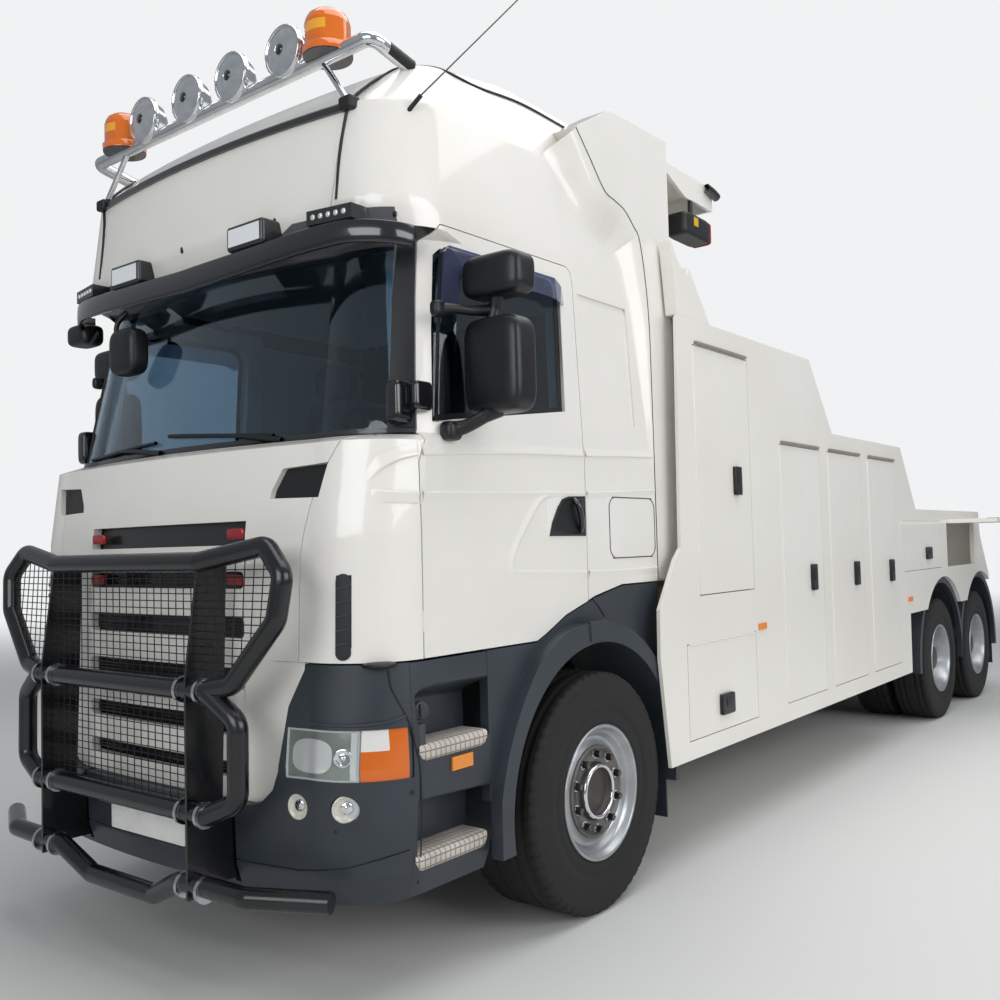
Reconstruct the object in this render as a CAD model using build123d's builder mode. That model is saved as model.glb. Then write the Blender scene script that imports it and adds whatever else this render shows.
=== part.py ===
from build123d import *
import os
from functools import cache
from math import cos, hypot, radians, sin

# Heavy recovery truck, millimetres. +X is forward, +Y is the truck's left side, +Z is up.
# The origin is on the ground, under the middle of the whole length.
os.makedirs("parts", exist_ok=True)

# Driving dimensions: running gear
axle1_x = 3947          # front axle
wheelbase = 5700        # front axle to first rear axle
bogie = 1350            # first to second rear axle
tyre_r = 530
rim_seat_r = 286        # where the tyre's bead sits
front_tyre_w = 385
rear_tyre_w = 300
twin_gap = 46           # between the two tyres of a pair
front_tyre_out = 1243   # outer face of the front tyre, from the middle
rear_tyre_out = 1222
kingpin_y = 930
hub_gap = 0.3           # bare clearance between pieces that seat on each other

# Driving dimensions: frame
rail_h = 270
rail_flange = 85
rail_t = 9
rail_out = 425          # outer face of a rail
frame_top = 970
frame_front = 1180      # ahead of the front axle
frame_back = 7560       # behind the front axle
bracket_y = 515         # the bull bar's posts and brackets

# Driving dimensions: cab
cab_wall = 90
cab_back = -880
cab_bottom = 1235
cab_floor = 1470
cab_belt = 2060
roof_seam = 2955
panel_t = 40            # outer front panel, ahead of the bulkhead
shut_gap = 5            # gap round a door
door_front_low = 1100
door_back = 0
door_top = 2900

# Driving dimensions: recovery body
body_half = 1275
body_inner = 640        # inner wall of the lockers
body_skin = 40
body_bottom = 529
body_high = 2810
body_mid = 2346
body_low = 1850
deck_z = 1090           # top of the deck plate
deck_low = 1082
divider = 30

axle2_x = axle1_x - wheelbase
axle3_x = axle2_x - bogie

# Cab outline at each height: height, nose, bow of the nose, half width where the corner arc
# starts, where that arc meets the side, and the half width of the side; x from the front axle
cab_levels = [
    (1235, 1430, 45, 880, 1100, 1190),
    (1700, 1420, 50, 880, 1095, 1192),
    (2040, 1385, 60, 870, 1060, 1190),
    (2075, 1318, 85, 780, 900, 1186),
    (2850, 1150, 85, 710, 780, 1150),
    (2885, 1225, 75, 800, 880, 1147),
    (2985, 1250, 70, 810, 900, 1142),
    (3390, 1190, 60, 850, 850, 1105),
    (3590, 965, 50, 900, 780, 1066),
    (3705, 520, 40, 720, 300, 1000),
    (3745, 150, 30, 640, 0, 880),
]


def level_at(z):
    """The cab's outline row at height z, in proportion between the two rows beside it."""
    for low, high in zip(cab_levels, cab_levels[1:]):
        if low[0] <= z <= high[0]:
            share = (z - low[0]) / (high[0] - low[0])
            return [a + share * (b - a) for a, b in zip(low, high)]
    return list(cab_levels[-1] if z > cab_levels[-1][0] else cab_levels[0])


@cache
def cab_form(z_low, z_high, inset=0.0, back=cab_back, back_r=70.0):
    """The cab's closed form between two heights, moved in by inset all round."""
    heights = [z_low] + [row[0] for row in cab_levels if z_low + 1 < row[0] < z_high - 1] + [z_high]
    with BuildPart() as form:
        for z in heights:
            _, nose, bow, corner_y, side_x, half = level_at(z)
            tip_x, side = axle1_x + nose - inset, half - inset
            edge_x, edge_y = tip_x - bow, corner_y - 0.4 * inset
            turn_x = axle1_x + side_x - 0.4 * inset
            mid_x = turn_x + (edge_x - turn_x) * cos(radians(45))
            mid_y = edge_y + (side - edge_y) * sin(radians(45))
            back_x = axle1_x + back + inset
            r = max(back_r - inset, 8)
            q = r * (1 - cos(radians(45)))
            with BuildSketch(Plane.XY.offset(z)):
                with BuildLine():
                    ThreePointArc((edge_x, -edge_y), (tip_x, 0), (edge_x, edge_y))
                    ThreePointArc((edge_x, edge_y), (mid_x, mid_y), (turn_x, side))
                    Line((turn_x, side), (back_x + r, side))
                    ThreePointArc((back_x + r, side), (back_x + q, side - q), (back_x, side - r))
                    Line((back_x, side - r), (back_x, r - side))
                    ThreePointArc((back_x, r - side), (back_x + q, q - side), (back_x + r, -side))
                    Line((back_x + r, -side), (turn_x, -side))
                    ThreePointArc((turn_x, -side), (mid_x, -mid_y), (edge_x, -edge_y))
                make_face()
        loft(ruled=True)
    return form.part


def side_prism(points, y_a, y_b):
    """A side outline, x from the front axle against height, drawn out between two y places."""
    with BuildPart() as prism:
        with BuildSketch(Plane.XZ.offset(-max(y_a, y_b))):
            with BuildLine():
                Polyline([(axle1_x + x, z) for x, z in points], close=True)
            make_face()
        extrude(amount=abs(y_b - y_a))
    return prism.part


def front_prism(points, x_a, x_b):
    """A front outline, y against height, drawn out between two places, x from the front axle."""
    with BuildPart() as prism:
        with BuildSketch(Plane.YZ.offset(axle1_x + min(x_a, x_b))):
            with BuildLine():
                Polyline(points, close=True)
            make_face()
        extrude(amount=abs(x_b - x_a))
    return prism.part


def block(x_a, x_b, y_a, y_b, z_a, z_b):
    """A box between the given limits, x from the front axle."""
    with BuildPart() as solid:
        with Locations((axle1_x + (x_a + x_b) / 2, (y_a + y_b) / 2, (z_a + z_b) / 2)):
            Box(abs(x_b - x_a), abs(y_b - y_a), abs(z_b - z_a))
    return solid.part


def cross_rod(x, z, r, y_a, y_b, bore=0.0):
    """A round bar across the truck, bored through if a bore is given."""
    with BuildPart() as bar:
        with BuildSketch(Plane.XZ.offset(-max(y_a, y_b))):
            with Locations((axle1_x + x, z)):
                Circle(r)
                if bore:
                    Circle(bore, mode=Mode.SUBTRACT)
        extrude(amount=abs(y_b - y_a))
    return bar.part


def tube(points, r, bend):
    """A round tube along a path whose corners are bent to a radius; x from the front axle."""
    with BuildPart() as bar:
        with BuildLine() as path:
            FilletPolyline(*[(axle1_x + x, y, z) for x, y, z in points], radius=bend)
        with BuildSketch(Plane(origin=path.line @ 0, z_dir=path.line % 0)):
            Circle(r)
        sweep()
    return bar.part


def rod(start, end, r):
    """A straight round bar from start to end, x from the front axle."""
    span = [b - a for a, b in zip(start, end)]
    length = hypot(*span)
    with BuildPart() as bar:
        with BuildSketch(Plane(origin=(axle1_x + start[0], start[1], start[2]), z_dir=span)):
            Circle(r)
        extrude(amount=length)
    return bar.part


def grown(points, amount):
    """The closed outline moved out by amount."""
    with BuildSketch(Plane.XZ) as outline:
        with BuildLine():
            Polyline(points, close=True)
        make_face()
        offset(amount=amount, kind=Kind.INTERSECTION)
    wire = outline.sketch_local.faces()[0].outer_wire()
    return [(v.X, v.Y) for v in [e.position_at(0) for e in wire.order_edges()]]


def arc_prism(start, legs, y_a, y_b):
    """A side outline drawn out across the truck; a leg is a line's end, or an arc's middle and end."""
    with BuildPart() as bar:
        with BuildSketch(Plane.XZ.offset(-max(y_a, y_b))):
            with BuildLine():
                here = (axle1_x + start[0], start[1])
                for leg in legs:
                    points = [(axle1_x + x, z) for x, z in leg]
                    if len(points) == 1:
                        Line(here, points[0])
                    else:
                        ThreePointArc(here, *points)
                    here = points[-1]
                Line(here, (axle1_x + start[0], start[1]))
            make_face()
        extrude(amount=abs(y_b - y_a))
    return bar.part


def soft_block(x_a, x_b, y_a, y_b, z_a, z_b, r):
    """A block with all its edges rounded."""
    with BuildPart() as bar:
        with Locations((axle1_x + (x_a + x_b) / 2, (y_a + y_b) / 2, (z_a + z_b) / 2)):
            Box(abs(x_b - x_a), abs(y_b - y_a), abs(z_b - z_a))
        fillet(bar.edges(), r)
    return bar.part


def spun(centre, direction, profile):
    """A round piece turned from half its section: radius and distance along the direction."""
    with BuildPart() as bar:
        frame = Plane(origin=(axle1_x + centre[0], centre[1], centre[2]), z_dir=direction)
        with BuildSketch(Plane(origin=frame.origin, x_dir=frame.x_dir, z_dir=-frame.y_dir)):
            with BuildLine():
                Polyline(profile, close=True)
            make_face()
        revolve(axis=Axis(frame.origin, frame.z_dir))
    return bar.part


def band(path, half_width):
    """The outline of a narrow band that follows a path from bottom to top."""
    return [(a - half_width, b) for a, b in path] + [(a + half_width, b) for a, b in path[::-1]]


def keep(part, name):
    """Label a finished piece and write its file."""
    part.label = name
    export_step(part, f"parts/{name}.step")


# Frame: two channel rails, cross members and the tail plates that carry the underlift
cross_at = [1130, -1500, -2400, -3300, -4500, -6375, -7450]
cross_h = 190
tail_y = 150            # inner face of a tail plate
tail_t = 30
lift_pivot = (-7700, 890)
tail_side = [(-7400, 640), (-7400, 960), (-7830, 960), (-7870, 900), (-7870, 780), (-7650, 640)]
lamp_beam = (-7860, -7800, 780, 900)    # rear, front, low and high face
cab_stands = (-860, 930)
tunnel_top = 1400       # roof of the tunnel under the cab floor, over the engine
with BuildPart() as chassis_frame:
    for side in (1, -1):
        with BuildSketch(Plane.YZ.offset(axle1_x - frame_back)):
            with Locations((side * (rail_out - rail_flange / 2), frame_top - rail_h / 2)):
                Rectangle(rail_flange, rail_h)
            with Locations((side * (rail_out - rail_t - rail_flange / 2), frame_top - rail_h / 2)):
                Rectangle(rail_flange, rail_h - 2 * rail_t, mode=Mode.SUBTRACT)
        extrude(amount=frame_back + frame_front)
        # subframe rail that the deck stands on
        add(block(-7450, -900, side * (rail_out - rail_flange), side * rail_out, frame_top, deck_low))
        # tail plate, the gusset that ties it to the rail, and the beam for the rear lamps
        add(side_prism(tail_side, side * tail_y, side * (tail_y + tail_t)))
        add(block(-7590, -frame_back, side * (tail_y + tail_t), side * rail_out, 650, 960))
        add(block(lamp_beam[0], lamp_beam[1], side * (tail_y + tail_t), side * 1200,
                  lamp_beam[2], lamp_beam[3]))
        # front plate that the bull bar's brackets bolt to
        add(block(frame_front, frame_front + 20, side * 300, side * bracket_y, 640, 900))
        # stands that the cab rests on, at its front and back
        for x in cab_stands:
            add(block(x, x + 90, side * (rail_out - 80), side * (rail_out - 5), frame_top, tunnel_top))
    for x in cross_at:
        with Locations((axle1_x + x, 0, frame_top - rail_h / 2)):
            Box(80, 2 * (rail_out - rail_t), cross_h)
keep(chassis_frame.part, "chassis_frame")

# Axles and springs
spring_y = 378
spring_w = 80
rail_bottom = frame_top - rail_h
leaf_t = 16


def leaf_spring(x_mid, span, camber, leaves, y_mid):
    """A stack of leaves, each one a flat arc, shorter towards the axle."""
    with BuildPart() as stack:
        for n in range(leaves):
            half = span / 2 * (1 - 0.22 * n)
            drop = camber * (half / (span / 2)) ** 2
            z_low = rail_bottom - 42 - camber - n * leaf_t
            with BuildSketch(Plane.XZ.offset(-(y_mid + spring_w / 2))):
                with BuildLine():
                    ThreePointArc((x_mid - half, z_low + drop), (x_mid, z_low), (x_mid + half, z_low + drop))
                    Line((x_mid + half, z_low + drop), (x_mid + half, z_low + drop - leaf_t))
                    ThreePointArc((x_mid + half, z_low + drop - leaf_t), (x_mid, z_low - leaf_t),
                                  (x_mid - half, z_low + drop - leaf_t))
                    Line((x_mid - half, z_low + drop - leaf_t), (x_mid - half, z_low + drop))
                make_face()
            extrude(amount=spring_w)
        # eyes under the rail
        for end in (-1, 1):
            x_eye = x_mid - axle1_x + end * (span / 2 - 30)
            add(block(x_eye - 35, x_eye + 35, y_mid - spring_w / 2, y_mid + spring_w / 2,
                      rail_bottom - 62, rail_bottom - hub_gap))
    return stack.part


kingpin_r = 21.7
boss_low, boss_high = 465, 595
hub_in = 545            # inner end of a rear hub
stub_r = 58
stub_out = 1104
front_beam = [(930, 585), (700, 585), (560, 545), (-560, 545), (-700, 585), (-930, 585),
              (-930, 475), (-700, 475), (-560, 435), (560, 435), (700, 475), (930, 475)]
with BuildPart() as axles:
    add(front_prism(front_beam, -50, 50))
    for side in (1, -1):
        with BuildSketch(Plane.XY.offset(boss_low)):
            with Locations((axle1_x, side * kingpin_y)):
                Circle(62)
        extrude(amount=boss_high - boss_low)
        with BuildSketch(Plane.XY.offset(boss_low - 1)):
            with Locations((axle1_x, side * kingpin_y)):
                Circle(kingpin_r + hub_gap)
        extrude(amount=boss_high - boss_low + 2, mode=Mode.SUBTRACT)
    for side in (1, -1):
        add(leaf_spring(axle1_x, 1500, 60, 3, side * spring_y))
        add(block(-80, 80, side * spring_y - 48, side * spring_y + 48, 540, 570))
    for x in (-wheelbase, -wheelbase - bogie):
        add(cross_rod(x, tyre_r, 75, -hub_in, hub_in))
        for side in (1, -1):
            add(block(x - 60, x + 60, side * 340, side * 430, 470, 600))
            # air spring between the axle and the rail
            with BuildSketch(Plane.XY.offset(598)):
                with Locations((axle1_x + x, side * 385)):
                    Circle(42)
            extrude(amount=rail_bottom - 598)
            # stub that the hub turns on
            add(cross_rod(x, tyre_r, stub_r, side * (hub_in - 1), side * stub_out))
    # the drive axle's gear housing
    with Locations((axle2_x, 0, tyre_r)):
        Sphere(170)
keep(axles.part, "axles")

# Engine, gearbox and shafts as plain masses at their real places
shaft_r = 55
shaft_from, shaft_to = (-1225, 690), (-5700 + 175, 560)
with BuildPart() as engine:
    add(block(-475, 850, -320, 320, 720, 1300))
    add(block(-150, 700, -190, 190, 600, 720))
    # feet that reach the rails' upper flanges
    for side in (1, -1):
        add(block(200, 320, side * 319, side * (rail_out - rail_flange), 940, frame_top))
    with BuildSketch(Plane.YZ.offset(axle1_x - 475)):
        with Locations((0, 800)):
            Circle(230)
    extrude(amount=-700, taper=10)
    add(block(-1240, -1100, -90, 90, 620, 780))
    run = hypot(shaft_to[0] - shaft_from[0], shaft_to[1] - shaft_from[1])
    tilt = Plane(origin=(axle1_x + shaft_from[0], 0, shaft_from[1]), x_dir=(0, 1, 0),
                 z_dir=((shaft_to[0] - shaft_from[0]) / run, 0, (shaft_to[1] - shaft_from[1]) / run))
    with BuildSketch(tilt):
        Circle(shaft_r)
    extrude(amount=run)
    # fan and radiator
    with BuildSketch(Plane.YZ.offset(axle1_x + 850)):
        with Locations((0, 980)):
            Circle(60)
    extrude(amount=60)
    with BuildSketch(Plane.YZ.offset(axle1_x + 900)):
        with Locations((0, 980)):
            Circle(300)
    extrude(amount=40)
    add(block(940, 1060, -330, 330, 700, 1380))
keep(engine.part, "engine")

# Cab skin split where the real panels meet
door_side = [(door_back, 1380), (180, 1330), (330, 1262), (400, cab_bottom), (door_front_low, cab_bottom),
             (door_front_low, 1960), (1052, 2085), (1030, 2279), (986, 2600), (948, 2840), (905, door_top),
             (40, door_top + 10), (10, 2890), (door_back, 2830)]
window_side = [(994, 2120), (953, 2481), (907, 2790), (880, 2818), (180, 2832), (135, 2815), (105, 2760),
               (125, 2232)]
windscreen_front = [(-1060, 2092), (1060, 2092), (1034, 2398), (1013, 2600), (991, 2830), (-991, 2830),
                    (-1013, 2600), (-1034, 2398)]
windscreen_x = 860
front_gap = door_front_low + 6      # the front panel begins here
door_hinge_x, door_hinge_y = door_front_low + 3, 1191
door_hinges = [1330, 1800]
tunnel_half = 430
arch_zone = side_prism([(-900, 1100), (-900, 1442), (-300, 1442), (-60, 1400), (180, 1330), (330, 1262),
                        (400, 1235), (400, 1100)], -1300, 1300)
skin_out = cab_form(cab_bottom, roof_seam)
skin_in = cab_form(cab_floor, roof_seam, cab_wall)

@cache
def skin_layer(z_low, z_high, depth):
    """The outer layer of the cab's skin, down to a depth."""
    with BuildPart() as layer:
        add(cab_form(z_low, z_high, -1))
        add(cab_form(z_low, z_high, depth), mode=Mode.SUBTRACT)
    return layer.part


def front_cut(points, side, z_low, z_high, depth):
    """What a recess of this outline takes out of the skin on one side of the front."""
    with BuildPart() as cut:
        add(skin_layer(z_low, z_high, depth))
        add(front_prism([(side * y, z) for y, z in points], 860, 1600), mode=Mode.INTERSECT)
    return cut.part


def side_cut(side, points, depth):
    """What a recess of this outline takes out of the cab's side, down to a depth."""
    with BuildPart() as cut:
        add(skin_layer(1500, 2840, depth))
        add(side_prism(points, side * 1000, side * 1300), mode=Mode.INTERSECT)
    return cut.part


# Behind the door: the sunk blind panel and the hatch of the side locker
blind_panel = [(-42, 2800), (-475, 2800), (-487, 2210), (-42, 2196)]
hatch = [(-197, 1855), (-640, 1848), (-640, 1561), (-197, 1565)]
with BuildPart() as front_skin:
    add(skin_out)
    add(cab_form(cab_bottom, roof_seam, panel_t + shut_gap), mode=Mode.SUBTRACT)
    add(block(front_gap - 1, 1600, -1300, 1300, 1100, cab_belt), mode=Mode.INTERSECT)
with BuildPart() as cab_shell:
    add(skin_out)
    add(skin_in, mode=Mode.SUBTRACT)
    add(arch_zone, mode=Mode.SUBTRACT)
    add(front_prism(windscreen_front, windscreen_x, 1500), mode=Mode.SUBTRACT)
    for side in (1, -1):
        add(side_prism(grown(door_side, shut_gap), side * 1090, side * 1300), mode=Mode.SUBTRACT)
        add(side_prism([(x, max(z, cab_floor)) for x, z in grown(door_side, shut_gap)],
                       side * 880, side * 1300), mode=Mode.SUBTRACT)
    add(front_skin.part, mode=Mode.SUBTRACT)
    add(block(cab_back, 1100, -tunnel_half, tunnel_half, 1100, tunnel_top), mode=Mode.SUBTRACT)
    for side in (1, -1):
        add(side_cut(side, blind_panel, 9), mode=Mode.SUBTRACT)
        add(side_cut(side, hatch, 8), mode=Mode.SUBTRACT)
        add(side_cut(side, [(x - 4 + 8 * (x < -400), z - 4 + 8 * (z < 1700)) for x, z in hatch], 9))
keep(cab_shell.part, "cab_shell")

# Front panel with its corner pieces: open where the grille and the slot are
slot_low, slot_high, slot_half = 1668, 1760, 545
grille_top, grille_half = 1600, 700
seam_w, seam_depth = 3, 7       # half width and depth of a seam between two panels
# Seams, the dark recess and the vent of the left side, in front view: y and z
corner_seam = [(830, 1200), (835, 1621), (871, 1804), (917, 1916), (1003, 2062)]
corner_recess = [(665, 1840), (672, 1873), (720, 1952), (945, 1962), (911, 1835)]
corner_vent = [(1008, 1262), (1050, 1318), (1053, 1549), (1003, 1533)]
recess_depth = 26
with BuildPart() as cab_front:
    add(skin_out)
    add(cab_form(cab_bottom, roof_seam, panel_t), mode=Mode.SUBTRACT)
    add(block(front_gap, 1600, -1300, 1300, 1100, cab_belt - hub_gap), mode=Mode.INTERSECT)
    add(block(1200, 1600, -slot_half, slot_half, slot_low, slot_high), mode=Mode.SUBTRACT)
    add(block(1200, 1600, -grille_half, grille_half, 1100, grille_top), mode=Mode.SUBTRACT)
    for side in (1, -1):
        add(front_cut(band(corner_seam, seam_w), side, cab_bottom, 2074, seam_depth),
            mode=Mode.SUBTRACT)
        add(front_cut(corner_recess, side, 1750, 2039, recess_depth), mode=Mode.SUBTRACT)
        add(front_cut(corner_vent, side, cab_bottom, 1699, recess_depth), mode=Mode.SUBTRACT)
        # slats across the vent
        for z in (1340, 1395, 1450, 1505):
            add(front_cut([(1000, z), (1054, z + 6), (1054, z + 16), (1000, z + 10)], side, cab_bottom, 1699,
                          recess_depth + 1))
keep(cab_front.part, "cab_front")

# Windscreen: one bowed pane
with BuildPart() as windscreen:
    add(cab_form(2000, 2900, 14))
    add(cab_form(2000, 2900, 22), mode=Mode.SUBTRACT)
    add(front_prism(grown(windscreen_front, -hub_gap), windscreen_x, 1500), mode=Mode.INTERSECT)
keep(windscreen.part, "windscreen")

# Cab doors with their panes and mirrors
# Mirror heads: middle height, height, height of the arm that carries them, and edge radius
mirror_y, mirror_x = 1335, 793
mirror_heads = [(2334, 357, 2133, 42), (2676, 132, 2558, 54)]
seat_form = cab_form(1900, 2900, -hub_gap)
handle_pocket = [(40, 1690), (232, 1676), (262, 1700), (268, 1822), (240, 1834), (62, 1770), (34, 1742)]
for side, name in ((1, "left"), (-1, "right")):
    with BuildPart() as door:
        add(cab_form(cab_bottom + 1, roof_seam))
        add(cab_form(cab_bottom, roof_seam, cab_wall), mode=Mode.SUBTRACT)
        add(side_prism(door_side, side * 880, side * 1300), mode=Mode.INTERSECT)
        add(side_prism(window_side, side * 880, side * 1300), mode=Mode.SUBTRACT)
        for z in door_hinges:
            add(block(door_front_low - 4, door_hinge_x, side * (door_hinge_y - 2.5), side * door_hinge_y,
                      z, z + 80))
            with BuildSketch(Plane.XY.offset(z)):
                with Locations((axle1_x + door_hinge_x, side * door_hinge_y)):
                    Circle(2.7)
            extrude(amount=80)
        # handle in its pocket
        add(side_cut(side, handle_pocket, 34), mode=Mode.SUBTRACT)
        add(soft_block(60, 232, side * 1158, side * 1186, 1726, 1762, 10))
        add(block(70, 96, side * 1140, side * 1165, 1732, 1756))
        add(block(200, 226, side * 1140, side * 1165, 1732, 1756))
    keep(door.part, f"door_{name}")
    with BuildPart() as pane:
        add(cab_form(2000, 2900, 20))
        add(cab_form(2000, 2900, 26), mode=Mode.SUBTRACT)
        add(side_prism(grown(window_side, -hub_gap), side * 880, side * 1300), mode=Mode.INTERSECT)
    keep(pane.part, f"door_glass_{name}")
    with BuildPart() as mirror:
        for z, height, arm_z, r in mirror_heads:
            add(soft_block(mirror_x - 65, mirror_x + 65, side * (mirror_y - 125), side * (mirror_y + 125),
                           z - height / 2, z + height / 2, r))
            add(block(mirror_x - 25, mirror_x + 35, side * 1020, side * (mirror_y - 60),
                      arm_z - 20, arm_z + 20))
        add(block(mirror_x - 25, mirror_x + 25, side * (mirror_y - 110), side * (mirror_y - 60), 2115, 2640))
        add(seat_form, mode=Mode.SUBTRACT)
    keep(mirror.part, f"mirrors_{name}")

# Roof: a closed high cap over the cab
roof_top = cab_levels[-1][0]
lip_low, lip_high, lip_half, lip_reach = 3362, 3402, 880, 12
roof_joint = [(820, 2960), (826, 3025), (842, 3230), (877, 3397), (905, 3640)]


def roof_lip(reach):
    """The level strip that stands out across the front of the roof."""
    with BuildPart() as lip:
        add(cab_form(lip_low, lip_high, -reach))
        add(block(900, 1400, -lip_half, lip_half, 3300, 3500), mode=Mode.INTERSECT)
    return lip.part


with BuildPart() as cab_roof:
    add(cab_form(roof_seam, roof_top))
    for side in (1, -1):
        add(front_cut(band(roof_joint, seam_w), side, roof_seam, 3650, seam_depth), mode=Mode.SUBTRACT)
    add(roof_lip(lip_reach))
    add(cab_form(roof_seam, roof_top - cab_wall, cab_wall), mode=Mode.SUBTRACT)
keep(cab_roof.part, "cab_roof")

# Bumper with the grey corners and step wells
bumper_low = 380
bumper_levels = [
    (bumper_low, 1445, 70, 860, 1090, 1150),
    (470, 1475, 75, 880, 1100, 1185),
    (860, 1490, 80, 900, 1110, 1200),
    (1228, 1440, 60, 890, 1100, 1190),
]
bumper_wall = 60
bumper_back = 740


@cache
def bumper_form(inset=0.0, back=bumper_back):
    """The bumper's closed form, moved in by inset all round."""
    with BuildPart() as form:
        for z, nose, bow, corner_y, side_x, half in bumper_levels:
            tip_x, side = axle1_x + nose - inset, half - inset
            edge_x, edge_y = tip_x - bow, corner_y - 0.4 * inset
            turn_x = axle1_x + side_x - 0.4 * inset
            mid_x = turn_x + (edge_x - turn_x) * cos(radians(45))
            mid_y = edge_y + (side - edge_y) * sin(radians(45))
            back_x = axle1_x + back
            with BuildSketch(Plane.XY.offset(z)):
                with BuildLine():
                    ThreePointArc((edge_x, -edge_y), (tip_x, 0), (edge_x, edge_y))
                    ThreePointArc((edge_x, edge_y), (mid_x, mid_y), (turn_x, side))
                    Line((turn_x, side), (back_x, side))
                    Line((back_x, side), (back_x, -side))
                    Line((back_x, -side), (turn_x, -side))
                    ThreePointArc((turn_x, -side), (mid_x, -mid_y), (edge_x, -edge_y))
                make_face()
        loft(ruled=True)
    return form.part


def bumper_cut(outline, depth):
    """What a recess of this front outline takes out of the bumper's outer face."""
    with BuildPart() as cut:
        add(bumper_form(-1))
        add(bumper_form(depth), mode=Mode.SUBTRACT)
        add(front_prism(outline, 1107, 1600), mode=Mode.INTERSECT)
    return cut.part


lamp_low, lamp_high, lamp_in = 820, 1000, 790
indicator_y = 1083      # where the headlamp ends and the indicator begins
# Half outline of the white grille panel below the step, y and z
grille_step = 1234
lower_panel = [(859, grille_step), (859, 1208), (792, 1074), (758, 839), (728, 768), (668, 716), (600, 700)]
fog_lamps = [(840, 719), (1037, 726)]
fog_r = 46
bumper_groove = [(0, 489), (549, 489), (842, 493), (1046, 522), (1176, 564)]
# Steps: floor, underside and outer edge of each tread's shelf, and the side outline of its well
step_wells = [
    (865, 745, 1190, [(1095, 865), (1102, 1065), (1050, 1105), (770, 1127), (760, 865)]),
    (475, 400, 1176, [(1095, 475), (1095, 733), (760, 745), (760, 475)]),
]
well_in = 900
well_back, well_front = 763, 1092   # ends of a tread
tread_t = 60


def both_sides(half_outline, clearance=0.0):
    """A half outline in front view with its mirror image, as one closed outline."""
    half = [(y + clearance, z - clearance * (z < 800)) for y, z in half_outline]
    return half + [(-y, z) for y, z in half[::-1]]


with BuildPart() as bumper:
    add(bumper_form())
    add(bumper_form(bumper_wall, 600), mode=Mode.SUBTRACT)
    # the white grille surround stands in the middle
    add(front_prism(both_sides(lower_panel, hub_gap), 1000, 1600), mode=Mode.SUBTRACT)
    for side in (1, -1):
        add(block(1105, 1600, side * (lamp_in - hub_gap), side * 1300, lamp_low, lamp_high),
            mode=Mode.SUBTRACT)
        for y, z in fog_lamps:
            add(rod((1200, side * y, z), (1600, side * y, z), fog_r + hub_gap), mode=Mode.SUBTRACT)
        for floor, under, _, outline in step_wells:
            add(side_prism(outline, side * well_in, side * 1300), mode=Mode.SUBTRACT)
            add(block(bumper_back, 1100, side * well_in, side * 1150, under, floor))
        add(block(bumper_back, 1100, side * (well_in - 30), side * well_in, 400, 1228))
        add(bumper_cut([(side * y, z + 3) for y, z in bumper_groove]
                       + [(side * y, z - 3) for y, z in bumper_groove[::-1]], seam_depth), mode=Mode.SUBTRACT)
        # slot for the bull bar's bracket
        add(block(1300, 1600, side * (bracket_y - 15), side * (bracket_y + 15), 400, 701),
            mode=Mode.SUBTRACT)
keep(bumper.part, "bumper")

# Headlamps in the bumper corners, fog lamps, side markers, and the rear lamps on their beam
body_markers = [(-1704, 1133), (-4636, 1118)]
split_line = [(indicator_y - 3, 800), (indicator_y + 3, 800), (indicator_y + 3, 1100),
              (indicator_y - 3, 1100)]


def fog_lamp_pair(side):
    """Two round lamps sunk in one corner of the bumper."""
    with BuildPart() as pair:
        for y, z in fog_lamps:
            add(rod((1280, side * y, z), (1600, side * y, z), fog_r))
        add(bumper_form(8), mode=Mode.INTERSECT)
    return pair.part


def step_marker(side):
    """The amber marker lamp under the upper step."""
    with BuildPart() as marker:
        add(block(858, 976, side * 1150, side * 1207, 806, 856))
        add(bumper_form(-hub_gap), mode=Mode.SUBTRACT)
    return marker.part


with BuildPart() as road_lamps:
    add(bumper_form(6))
    add(bumper_form(55, 600), mode=Mode.SUBTRACT)
    add(block(1106, 1600, -1300, 1300, lamp_low, lamp_high), mode=Mode.INTERSECT)
    add(block(1000, 1600, -lamp_in, lamp_in, 800, 1100), mode=Mode.SUBTRACT)
    for side in (1, -1):
        add(bumper_cut([(side * y, z) for y, z in split_line], 14), mode=Mode.SUBTRACT)
        add(fog_lamp_pair(side))
        add(step_marker(side))
        # markers along the recovery body
        for x, z in body_markers:
            add(block(x - 50, x + 50, side * body_half, side * (body_half + 10), z - 18, z + 18))
        add(block(lamp_beam[0] - 50, lamp_beam[0], side * 720, side * 1190, 785, 895))
keep(road_lamps.part, "road_lamps")

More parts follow.
